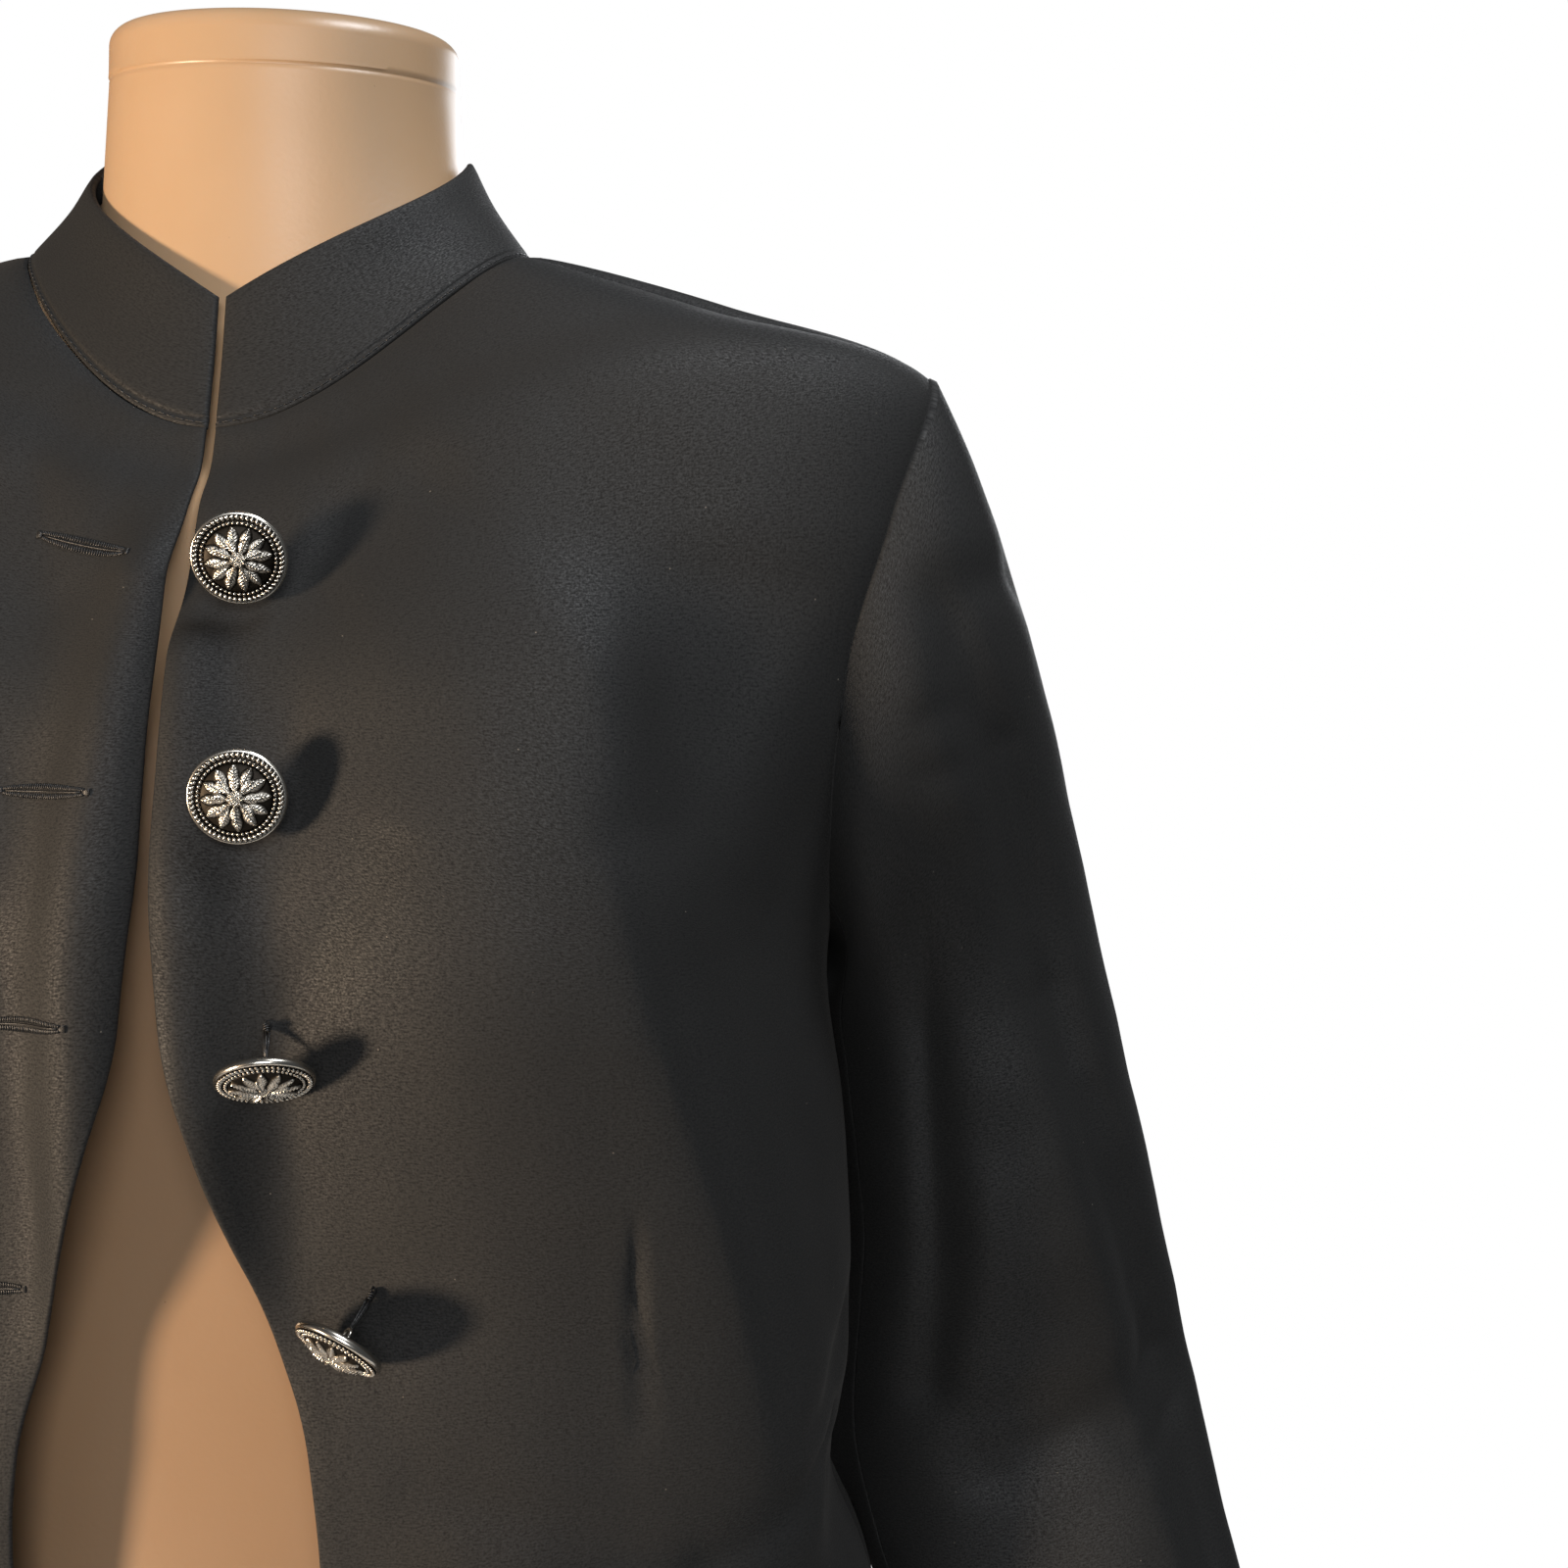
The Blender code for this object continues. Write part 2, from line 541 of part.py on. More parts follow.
def button(number, height, in_from_edge, face, thread):
    """A domed shank button, hanging from its thread on the left front."""
    place = place_at_height(height, BUTTON_ANGLE)
    sizes = cloth_row(place)
    angle = angle_at_x(sizes, edge_out(height) + in_from_edge)
    sewn = on_row(sizes, angle)
    along = on_row(sizes, angle + BUTTON_STEP) - sewn
    up = on_row(cloth_row(place + BUTTON_STEP), angle) - sewn
    out = along.cross(up).normalized()
    face = Vector(face).normalized()
    foot_reach = THREAD_RADIUS * math.sqrt(1 - out.dot(face) ** 2)
    profile = [(radius, thread + depth) for radius, depth in BUTTON_PROFILE]
    profile += [(THREAD_RADIUS, thread - THREAD_RECESS), (THREAD_RADIUS, 0.0), (0.0, 0.0)]
    mesh = bmesh.new()
    points = [mesh.verts.new((radius, 0, depth)) for radius, depth in profile]
    for a, b in zip(points, points[1:]):
        mesh.edges.new((a, b))
    thing = finish_mesh(f"button_{number}", mesh, NICKEL)
    turned = thing.modifiers.new("turned", "SCREW")
    turned.steps = turned.render_steps = BUTTON_STEPS
    turned.use_merge_vertices = True
    turned.merge_threshold = 0.00002
    thing.rotation_mode = "QUATERNION"
    thing.rotation_quaternion = face.to_track_quat("Z", "Y")
    thing.location = sewn + out * (BUTTON_GAP + foot_reach)


for old in list(bpy.data.objects):
    bpy.data.objects.remove(old, do_unlink=True)

PARTS = bpy.data.collections.new("blazer_on_dress_form")
bpy.context.scene.collection.children.link(PARTS)

MATERIALS = {}
for title, colour, roughness, metallic in (SUITING, NICKEL, FORM_PLASTIC):
    material = bpy.data.materials.new(title)
    material.use_nodes = True
    shader = material.node_tree.nodes["Principled BSDF"]
    shader.inputs["Base Color"].default_value = (*colour, 1)
    shader.inputs["Roughness"].default_value = roughness
    shader.inputs["Metallic"].default_value = metallic
    MATERIALS[title] = material

dress_form()
grid_object("front_left", front_panel(1), SUITING, CLOTH)
grid_object("front_right", front_panel(-1), SUITING, CLOTH)
grid_object("back", back_panel(), SUITING, CLOTH)
grid_object("collar", collar_rows(), SUITING, COLLAR_CLOTH)
for side, name in ((1, "left"), (-1, "right")):
    top = sleeve_panel(side, FOREARM_SEAM, HINDARM_SEAM)
    under = sleeve_panel(side, HINDARM_SEAM + 360, FOREARM_SEAM)
    grid_object(f"top_sleeve_{name}", top, SUITING, CLOTH)
    grid_object(f"under_sleeve_{name}", under, SUITING, CLOTH)
for number, sizes in enumerate(BUTTONS, 1):
    button(number, **sizes)
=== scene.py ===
"""A woman's black stand-collar blazer, worn open on a limbless dress form.

Metres, +Z up, the floor at z = 0. The garment faces -Y, and the wearer's left is +X.
"""

import math

import bpy
import numpy as np
from mathutils import Matrix, Vector


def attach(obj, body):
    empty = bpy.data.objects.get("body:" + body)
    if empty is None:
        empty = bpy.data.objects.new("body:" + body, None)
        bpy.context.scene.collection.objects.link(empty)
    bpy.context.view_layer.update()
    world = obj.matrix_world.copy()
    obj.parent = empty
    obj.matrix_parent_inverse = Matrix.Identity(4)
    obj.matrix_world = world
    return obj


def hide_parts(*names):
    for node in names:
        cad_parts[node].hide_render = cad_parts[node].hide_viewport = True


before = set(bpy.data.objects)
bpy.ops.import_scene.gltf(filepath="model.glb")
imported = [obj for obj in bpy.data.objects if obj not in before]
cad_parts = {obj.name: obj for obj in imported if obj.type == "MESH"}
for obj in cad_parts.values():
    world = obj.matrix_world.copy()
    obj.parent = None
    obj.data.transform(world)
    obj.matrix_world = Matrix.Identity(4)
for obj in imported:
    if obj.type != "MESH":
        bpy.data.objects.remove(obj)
scene = bpy.context.scene
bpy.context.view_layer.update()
MM = 0.001

# The camera: level, in front of the left chest, at the height of the second button.
# The photograph's side is this many pixels, and its lens reaches as many pixels per metre at one metre.
PHOTO_SIDE, PHOTO_FOCAL = 1600, 1572
camera_data = bpy.data.cameras.new("camera")
camera_data.sensor_width = 36.0
camera_data.lens = camera_data.sensor_width * PHOTO_FOCAL / PHOTO_SIDE
camera_data.clip_start = 0.01
camera = bpy.data.objects.new("camera", camera_data)
camera.location = (0.152, -0.474, 0.529)
camera.rotation_euler = (math.radians(90), 0, 0)
scene.collection.objects.link(camera)
scene.camera = camera

# The dress form: a smooth torso without limbs, closed by a separate neck cap that slopes to the front.
# Blow-moulded polyethylene in a skin-like tan with faint orange peel and fine, dark specks, and a painted
# shade darkening it below the chest. Its satin gloss gives the eye hard, smooth plastic beside the soft
# cloth.

# Rows run round it: angle 0 is the centre front, 90 degrees the wearer's left and 180 the centre back.
ROW_COLUMNS = ("side_z", "front_z", "back_z", "half_width", "front", "back", "centre_y", "squareness")
FORM_ROWS = (
    (0.000, 0.000, 0.000, 0.150, 0.088, 0.096, 0.004, 2.20),
    (0.090, 0.090, 0.090, 0.166, 0.098, 0.106, 0.004, 2.20),
    (0.180, 0.180, 0.180, 0.168, 0.098, 0.108, 0.004, 2.20),
    (0.260, 0.260, 0.260, 0.152, 0.092, 0.092, 0.003, 2.20),
    (0.322, 0.322, 0.322, 0.134, 0.080, 0.078, 0.002, 2.20),
    (0.380, 0.380, 0.380, 0.140, 0.081, 0.084, 0.002, 2.20),
    (0.430, 0.430, 0.430, 0.150, 0.086, 0.094, 0.003, 2.25),
    (0.485, 0.485, 0.485, 0.157, 0.095, 0.104, 0.004, 2.25),
    (0.542, 0.534, 0.536, 0.164, 0.095, 0.109, 0.005, 2.25),
    (0.600, 0.571, 0.580, 0.176, 0.085, 0.107, 0.006, 2.25),
    (0.6455, 0.5966, 0.6126, 0.1876, 0.0786, 0.1006, 0.004, 2.20),
    (0.6684, 0.6088, 0.6438, 0.1328, 0.0708, 0.0828, 0.003, 2.10),
    (0.6882, 0.6218, 0.6698, 0.0728, 0.0616, 0.0641, 0.002, 2.00),
    (0.7060, 0.660, 0.694, 0.0530, 0.0520, 0.0530, 0.000, 2.00),
)
FORM_TOP, TOP_SLOPE, NECK_RADIUS, TOP_ROUND = 0.758, math.radians(16), 0.0510, 0.006
BUST_X, BUST_Z, BUST_WIDTH, BUST_HEIGHT, BUST_DEPTH = 0.088, 0.500, 0.044, 0.052, 0.019
# The third colour is a painted shade for the body below the chest; the second is the tan's random mottle.
FORM_TAN, FORM_SHADE, FORM_PAINTED_SHADE, FORM_SPECK = "#B09376", "#9E7F5C", "#856A50", "#4E3420"
FORM_MOTTLE, FORM_PEEL, PEEL_HEIGHT, SPECK_SPACING = 60 * MM, 1.6 * MM, 0.12 * MM, 11 * MM
# A painted shade darkens the tan between these heights.
PAINTED_SHADE_FROM, PAINTED_SHADE_TO = 0.62, 0.48
AROUND, STEPS_PER_ROW, TOP_EDGE_STEPS, SHARP_ANGLE = 160, 8, 10, math.radians(50)


def smooth(values, at):
    """The smooth curve through equally spaced values, at whole or broken places between them."""
    values = np.asarray(values, float)
    last = len(values) - 1
    start = np.clip(np.floor(at).astype(int), 0, last - 1)
    t = at - start
    ends = [2 * values[0] - values[1]], values, [2 * values[-1] - values[-2]]
    before, a, b, after = (np.concatenate(ends)[start + k] for k in range(4))
    slope_a, slope_b = (b - before) / 2, (after - a) / 2
    rise = t * t * (3 - 2 * t)
    return a + rise * (b - a) + t * (1 - t) * ((1 - t) * slope_a - t * slope_b)


def row(table, columns, at):
    """The named sizes of a table at whole or broken lines."""
    at = np.asarray(at, float)
    return {name: smooth([line[k] for line in table], at) for k, name in enumerate(columns)}


def reach(sizes, angle):
    """How far a row reaches from its middle in one direction, as an oval with squarer corners."""
    depth = np.where(np.cos(angle) > 0, sizes["front"], sizes["back"])
    across = np.abs(np.sin(angle) / sizes["half_width"]) ** sizes["squareness"]
    along = np.abs(np.cos(angle) / depth) ** sizes["squareness"]
    return (across + along) ** (-1 / sizes["squareness"])


def bust(x, z):
    across = (np.abs(x) - BUST_X) / BUST_WIDTH
    up = (z - BUST_Z) / BUST_HEIGHT
    return BUST_DEPTH * np.exp(-(across**2 + up**2) / 2)


def on_row(sizes, angle, lift=0.0):
    """Points of rows at angles, with the bust, moved out by a lift."""
    out = reach(sizes, angle)
    sine, cosine = np.sin(angle), np.cos(angle)
    end_z = np.where(cosine > 0, sizes["front_z"], sizes["back_z"])
    z = sizes["side_z"] + (end_z - sizes["side_z"]) * cosine**2
    x, y = out * sine, sizes["centre_y"] - out * cosine
    y = y - bust(x, z) * np.clip(cosine, 0, None)
    return np.stack((x + sine * lift, y - cosine * lift, z + 0 * lift), axis=-1)


def spread(first, last, count):
    return np.linspace(first, last, count + 1)


def linear(code):
    """An sRGB hex colour as the linear RGBA that a shader takes."""
    values = [int(code[k : k + 2], 16) / 255 for k in (1, 3, 5)]
    return (*(v / 12.92 if v <= 0.04045 else ((v + 0.055) / 1.055) ** 2.4 for v in values), 1.0)


def feed(node, inputs):
    """Set inputs of a node, each to a value or to the output that feeds it."""
    for name, value in inputs.items():
        if isinstance(value, bpy.types.NodeSocket):
            node.id_data.links.new(value, node.inputs[name])
        else:
            node.inputs[name].default_value = value


def add(tree, kind, inputs=None, **settings):
    """Add a shader node with its own settings, inputs and links."""
    node = tree.nodes.new("ShaderNode" + kind)
    for name, value in settings.items():
        setattr(node, name, value)
    feed(node, inputs or {})
    return node


def new_material(name):
    made = bpy.data.materials.new(name)
    made.use_nodes = True
    return made, made.node_tree, made.node_tree.nodes["Principled BSDF"]


def piece(name, points, faces, material, slot, node, uv=None):
    """A smooth mesh that rides on the one body, and may stand for a node of the frame."""
    mesh = bpy.data.meshes.new(name)
    mesh.from_pydata(points.tolist(), [], faces if isinstance(faces, list) else faces.tolist())
    mesh.shade_smooth()
    mesh.materials.append(material)
    if uv is not None:
        layer = mesh.uv_layers.new(name="cloth")
        corners = np.empty(len(mesh.loops), dtype=np.int32)
        mesh.loops.foreach_get("vertex_index", corners)
        layer.data.foreach_set("uv", np.asarray(uv, dtype=np.float32)[corners].ravel())
    thing = bpy.data.objects.new(name, mesh)
    scene.collection.objects.link(thing)
    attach(thing, "root")
    if node:
        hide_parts(node)
    return thing


def quads(rows, columns, closed=False):
    """The faces of a grid of points, counter-clockwise where columns run right and rows run up."""
    index = np.arange(rows * columns).reshape(rows, columns)
    if closed:
        index = np.concatenate((index, index[:, :1]), axis=1)
    low, high = index[:-1], index[1:]
    return np.stack((low[:, :-1], low[:, 1:], high[:, 1:], high[:, :-1]), axis=-1).reshape(-1, 4)


form_plastic, tree, shader = new_material("moulded polyethylene")
place = add(tree, "TexCoord").outputs["Object"]
mottle = add(tree, "TexNoise", {"Vector": place, "Scale": 1 / FORM_MOTTLE, "Detail": 3.0}).outputs["Fac"]
base = add(tree, "Mix", {0: mottle, 6: linear(FORM_TAN), 7: linear(FORM_SHADE)}, data_type="RGBA")
# Painted shade: below the chest the tan is mixed darker, fully so towards the bottom.
up = add(tree, "SeparateXYZ", {"Vector": place}).outputs["Z"]
low = add(tree, "MapRange", {"Value": up, "From Min": PAINTED_SHADE_FROM, "From Max": PAINTED_SHADE_TO})
shade_painted_tan = add(tree, "Mix", {0: low.outputs[0], 6: base.outputs[2], 7: linear(FORM_PAINTED_SHADE)}, data_type="RGBA")
specks = add(tree, "TexVoronoi", {"Vector": place, "Scale": 1 / SPECK_SPACING}).outputs["Distance"]
speck = {"Value": specks, "From Min": 0.018, "From Max": 0.034, "To Min": 0.55, "To Max": 0.0}
speck = add(tree, "MapRange", speck).outputs[0]
coloured = add(tree, "Mix", {0: speck, 6: shade_painted_tan.outputs[2], 7: linear(FORM_SPECK)}, data_type="RGBA")
peel = add(tree, "TexNoise", {"Vector": place, "Scale": 1 / FORM_PEEL, "Detail": 2.0}).outputs["Fac"]
bumps = add(tree, "Bump", {"Height": peel, "Strength": 0.35, "Distance": PEEL_HEIGHT}).outputs[0]
gloss = {"Value": mottle, "From Min": 0.3, "From Max": 0.7, "To Min": 0.30, "To Max": 0.40}
gloss = add(tree, "MapRange", gloss).outputs[0]
feed(shader, {"Base Color": coloured.outputs[2], "Roughness": gloss, "Normal": bumps})
feed(shader, {"Subsurface Weight": 0.10, "Subsurface Radius": (0.006, 0.003, 0.0015)})

turns = spread(0, 2 * math.pi, AROUND)[:-1]
heights = spread(0, len(FORM_ROWS) - 1, STEPS_PER_ROW * (len(FORM_ROWS) - 1))
rings = [on_row(row(FORM_ROWS, ROW_COLUMNS, np.full(len(turns), at)), turns) for at in heights]


def rim(radius, height):
    """A ring round the neck, sloping with its top."""
    back = -radius * np.cos(turns)
    return np.stack((radius * np.sin(turns), back, height + back * math.tan(TOP_SLOPE)), axis=-1)


# The cap's joint is a fine groove below the rounded edge of the top.
JOINT_BELOW = (0.0175, 0.0168, 0.0163, 0.0158, 0.0152, 0.0140)
JOINT_INSET = (0.0, 0.0, 0.0003, 0.0003, -0.0002, -0.0001)
TOP_RINGS = (0.036, 0.024, 0.012)
rings.extend(rim(NECK_RADIUS - inset, FORM_TOP - below) for below, inset in zip(JOINT_BELOW, JOINT_INSET))
for bend in spread(0, math.pi / 2, TOP_EDGE_STEPS):
    inset = TOP_ROUND * (1 - math.cos(bend))
    rings.append(rim(NECK_RADIUS - inset, FORM_TOP - TOP_ROUND * (1 - math.sin(bend))))
rings.extend(rim(radius, FORM_TOP) for radius in TOP_RINGS)
form_points = np.concatenate(rings)
bottom, top = len(form_points), len(form_points) + 1
form_points = np.concatenate((form_points, [(0, 0, 0), (0, 0, FORM_TOP)]))
form_faces = quads(len(rings), len(turns), closed=True).tolist()
last_ring = (len(rings) - 1) * len(turns)
for k in range(len(turns)):
    after = (k + 1) % len(turns)
    form_faces.append((after, k, bottom))
    form_faces.append((last_ring + k, last_ring + after, top))
form_body = piece("form_body", form_points, form_faces, form_plastic, "form_plastic", "dress_form")
form_body.data.set_sharp_from_angle(angle=SHARP_ANGLE)

# The cloth: a smooth-faced polyester and viscose suiting, woven with fine ribs across, black to charcoal.
# Its face has a low, broad shine, brighter on the high threads, and picks up a little lint.
# The ribs are really 0.35 mm apart. They are drawn 0.5 mm apart, so that they show at this distance.
SUITING_DARK, SUITING_LIGHT, SUITING_LINT, SUITING_SHEEN = "#040404", "#1D1D1C", "#8C8478", "#C9C4BC"
RIB, GRAIN, MOTTLE, LINT_SPACING = 0.5 * MM, 0.6 * MM, 45 * MM, 9 * MM
RIB_LENGTH, THREAD_HEIGHT = 3.2 * RIB, 0.06 * MM

suiting, tree, shader = new_material("black suiting")
place = add(tree, "UVMap", uv_map="cloth").outputs["UV"]
stretched = add(tree, "Mapping", {"Vector": place, "Scale": (1 / RIB_LENGTH, 1 / RIB, 1)}).outputs[0]
ribs = add(tree, "TexNoise", {"Vector": stretched, "Scale": 1.0, "Detail": 2.0}).outputs["Fac"]
grain = add(tree, "TexNoise", {"Vector": place, "Scale": 1 / GRAIN, "Detail": 1.0}).outputs["Fac"]
weave = add(tree, "Math", {0: ribs, 1: grain}, operation="ADD").outputs[0]
tone = add(tree, "MapRange", {"Value": weave, "From Min": 0.72, "From Max": 1.28}).outputs[0]
worn = add(tree, "Mix", {0: tone, 6: linear(SUITING_DARK), 7: linear(SUITING_LIGHT)}, data_type="RGBA")
lint = add(tree, "TexVoronoi", {"Vector": place, "Scale": 1 / LINT_SPACING}).outputs["Distance"]
fleck = {"Value": lint, "From Min": 0.012, "From Max": 0.030, "To Min": 0.4, "To Max": 0.0}
fleck = add(tree, "MapRange", fleck).outputs[0]
faced = add(tree, "Mix", {0: fleck, 6: worn.outputs[2], 7: linear(SUITING_LINT)}, data_type="RGBA")
patches = add(tree, "TexNoise", {"Vector": place, "Scale": 1 / MOTTLE, "Detail": 3.0}).outputs["Fac"]
shine = {"Value": patches, "From Min": 0.3, "From Max": 0.7, "To Min": 0.66, "To Max": 0.73}
shine = add(tree, "MapRange", shine).outputs[0]
thread_shine = add(tree, "Math", {0: tone, 1: -0.28, 2: shine}, operation="MULTIPLY_ADD").outputs[0]
duller = add(tree, "Math", {0: thread_shine, 1: 0.15}, operation="ADD").outputs[0]
threads = add(tree, "Bump", {"Height": weave, "Strength": 0.8, "Distance": THREAD_HEIGHT}).outputs[0]
feed(shader, {"Base Color": faced.outputs[2], "Roughness": duller, "Normal": threads})
feed(shader, {"Specular IOR Level": 0.32, "Sheen Weight": 0.02, "Sheen Roughness": 0.45})
feed(shader, {"Sheen Tint": linear(SUITING_SHEEN)})

# The body's cloth: two fronts and a back, cut from one layer with a pressed facing, sewn at sides and
# shoulders. All three are the same rows round the body, from the hem to the neckline, so that they meet at
# their seams, whose edges are pressed in.
CLOTH, SEAM_GAP, SEAM_TUCK = 1.6 * MM, 0.12 * MM, 0.45 * MM
CLOTH_ROWS = (
    (0.100, 0.100, 0.100, 0.206, 0.142, 0.134, 0.004, 2.30),
    (0.165, 0.165, 0.165, 0.199, 0.130, 0.127, 0.004, 2.35),
    (0.230, 0.230, 0.230, 0.190, 0.116, 0.116, 0.004, 2.40),
    (0.288, 0.288, 0.288, 0.178, 0.104, 0.099, 0.003, 2.50),
    (0.322, 0.322, 0.322, 0.166, 0.098, 0.090, 0.002, 2.55),
    (0.362, 0.362, 0.362, 0.172, 0.101, 0.094, 0.002, 2.55),
    (0.420, 0.420, 0.420, 0.171, 0.105, 0.104, 0.003, 2.50),
    (0.485, 0.485, 0.485, 0.166, 0.108, 0.113, 0.004, 2.40),
    (0.545, 0.538, 0.540, 0.186, 0.101, 0.117, 0.005, 2.40),
    (0.605, 0.576, 0.585, 0.206, 0.092, 0.114, 0.006, 2.40),
    (0.650, 0.600, 0.616, 0.198, 0.082, 0.104, 0.004, 2.30),
    (0.6705, 0.612, 0.647, 0.135, 0.073, 0.086, 0.003, 2.15),
    (0.690, 0.624, 0.675, 0.075, 0.068, 0.070, 0.002, 2.00),
)
UNDERARM_ROW, TIP_ROW, NECKLINE_ROW = 7, 10, 12
SIDE_SEAM_Y, SHOULDER_SEAM_Y = 0.008, -0.009
ARMHOLE_FRONT, ARMHOLE_BACK, ARMHOLE_SKEW = 0.050, 0.066, 0.16
HEM_Z, UNDERARM_Z, TIP_Z = (CLOTH_ROWS[k][0] for k in (0, UNDERARM_ROW, TIP_ROW))
# The front edge: its heights, and how far out from the middle it lies there.
EDGE_Z = 0.100, 0.200, 0.300, 0.345, 0.372, 0.398, 0.430, 0.462, 0.505, 0.700
EDGE_OUT = 0.0470, 0.0415, 0.0385, 0.0375, 0.0350, 0.0270, 0.0150, 0.0055, 0.0015, 0.0010
# Folds and creases: from and to in degrees round and in height, the bow of the line, its breadth to each
# side, and its depth, out being positive. Heights, breadths and depths are in millimetres.
BODY_RADIUS = 0.13
# The soft folds that the solids have too.
BODY_FOLDS = (
    (46, 555, 69.5, 325, 0, 19, 52, 11.0),
    (34, 605, 22, 580, 0, 14, 13, -2.6),
    (20, 530, 19, 405, 0, 42, 17, -6.0),
    (2, 560, 5, 415, 0, 14, 14, 8.0),
    (60, 580, 54, 520, 0, 14, 14, -3.2),
    (78, 345, 60, 330, 0, 8, 8, -3.5),
    (84, 372, 70, 356, 0, 8, 8, -3.0),
    (40, 330, 46, 120, 0, 22, 22, 5.0),
    (72, 300, 78, 105, 0, 20, 20, -5.0),
    (313, 552, 292, 330, 0, 50, 20, 9.5),
    (331, 602, 339, 575, 0, 13, 14, -2.4),
    (339, 525, 342, 405, 0, 18, 38, -5.0),
    (355, 580, 351, 400, 0, 14, 14, 8.5),
    (301, 584, 305, 512, 0, 13, 13, -3.3),
    (280, 340, 297, 327, 0, 9, 9, -3.4),
    (316, 325, 310, 110, 0, 24, 24, 5.0),
    (285, 296, 280, 110, 0, 19, 19, -4.6),
    (126, 565, 134, 470, 0, 15, 15, -3.6),
    (232, 560, 227, 478, 0, 16, 16, -3.4),
    (150, 322, 196, 334, 0, 10, 10, -3.5),
    (215, 345, 240, 330, 0, 9, 9, -3.5),
    (148, 296, 142, 105, 0, 24, 24, 6.0),
    (180, 290, 184, 110, 0, 26, 26, -5.0),
    (214, 298, 220, 105, 0, 24, 24, 6.0),
)
# Finer creases, each with ends that taper away.
BODY_CREASES = (
    # Left front: from the collar past the top button, the pull at the third button, the ridge's crisp edge.
    (39, 636, 20, 575, -4, 5, 9, -1.0),
    (31, 518, 19, 462, -3, 6, 9, -2.2),
    (13.5, 528, 21, 415, -2, 9, 12, -1.0),
    (47.5, 512, 64, 345, 0, 3.2, 12, 3.0),
    (50.3, 423, 52.2, 364, 0, 1.2, 1.5, -2.8),
    (47, 425, 52, 330, 0, 5, 9, -1.2),
    (48, 640, 60, 600, 2, 9, 9, -1.0),
    (66, 588, 60, 515, -2, 6, 9, -1.3),
    (73, 545, 66, 478, 2, 5, 8, -1.0),
    (86, 352, 68, 340, 2, 4, 5, -1.5),
    (87, 338, 74, 322, -2, 4, 5, -1.3),
    (85, 364, 76, 359, 1, 4, 4, -0.8),
    (30, 360, 60, 322, 4, 6, 8, -0.9),
    (24, 300, 30, 180, 3, 7, 12, -1.2),
    (56, 290, 62, 150, -3, 8, 12, 1.4),
    # Right front.
    (323, 636, 340, 580, 4, 11, 6, -1.4),
    (328, 515, 343, 474, 3, 8, 5, -1.4),
    (311, 505, 297, 358, 0, 11, 3.3, 2.7),
    (309.5, 421, 307.7, 358, 0, 1.5, 1.2, -2.8),
    (313, 424, 308, 332, 0, 9, 5, -1.1),
    (296, 592, 301, 520, 2, 9, 6, -1.2),
    (287, 548, 293, 482, -2, 8, 5, -1.0),
    (274, 348, 293, 338, -2, 5, 4, -1.4),
    (273, 334, 286, 320, 2, 5, 4, -1.2),
    (331, 356, 301, 320, -4, 8, 6, -0.8),
    (336, 302, 331, 176, -3, 12, 7, -1.1),
    (304, 292, 299, 150, 3, 12, 8, 1.3),
    # Back: pulls across the shoulder blades, drags to the underarms, creases at the waist.
    (140, 612, 166, 588, 3, 9, 12, -1.2),
    (221, 606, 196, 590, -3, 12, 9, -1.2),
    (104, 560, 128, 502, 4, 7, 11, -1.6),
    (257, 555, 231, 498, -4, 11, 7, -1.6),
    (112, 515, 138, 470, 4, 6, 10, -1.2),
    (249, 520, 223, 478, -4, 10, 6, -1.3),
    (96, 345, 132, 318, 4, 5, 7, -1.5),
    (98, 328, 121, 310, -3, 4, 6, -1.1),
    (264, 343, 229, 322, -4, 6, 4, -1.5),
    (262, 356, 240, 346, 2, 4, 3, -1.0),
    (158, 346, 204, 352, -3, 6, 7, -1.2),
    (166, 318, 192, 312, 2, 4, 6, -1.0),
    (163, 300, 160, 170, 3, 9, 12, -1.2),
    (199, 296, 203, 160, -3, 12, 9, -1.3),
    (126, 280, 122, 140, 2, 9, 12, -1.4),
    (238, 286, 243, 150, -2, 12, 9, -1.3),
)


def fold_depth(table, angle, z, radius, tapered):
    """The sum of the folds near points. A tapered one thins to nothing at its ends."""
    total = np.zeros(np.broadcast(angle, z).shape)
    for from_angle, from_z, to_angle, to_z, bow, left, right, depth in table:
        start = np.array((math.radians(from_angle) * radius, from_z * MM))
        along = np.array((math.radians(to_angle) * radius, to_z * MM)) - start
        length = np.hypot(*along)
        along /= length
        across, up = angle * radius - start[0], z - start[1]
        share = (across * along[0] + up * along[1]) / length
        held = np.clip(share, 0, 1)
        beyond = (share - held) * length
        off = up * along[0] - across * along[1] - bow * MM * 4 * held * (1 - held)
        breadth, ends = np.where(off > 0, left, right) * MM, (left + right) / 2 * MM
        lift = depth * MM * np.exp(-((off / breadth) ** 2) - (beyond / ends) ** 2)
        total += lift * (np.sin(math.pi * held) ** 0.7 if tapered else 1)
    return total


# The lengths and heights of the waves in hanging cloth, in millimetres.
WAVES = ((71, 0.30), (47, 0.20), (29, 0.10), (19, 0.05))


def unevenness(angle, z, radius, seed):
    """The slight unevenness of hanging cloth: a few broad, crossing waves of uneven length."""
    across, total = angle * radius, 0.0
    for number, (length, height) in enumerate(WAVES):
        length = length * MM
        lean = seed * 1.7 + number * 2.3
        phase = (across * math.cos(lean) + z * math.sin(lean)) * 2 * math.pi / length
        other = (across * math.sin(lean * 1.3) - z * math.cos(lean * 1.3)) * 2 * math.pi / (length * 1.37)
        total = total + height * MM * np.sin(phase + seed) * np.cos(other + number)
    return total


def cloth_lift(folds, creases, angle, z, radius, seed):
    lift = fold_depth(folds, angle, z, radius, tapered=False)
    lift = lift + fold_depth(creases, angle, z, radius, tapered=True)
    return lift + unevenness(angle, z, radius, seed)


def cloth_row(at):
    return row(CLOTH_ROWS, ROW_COLUMNS, at)


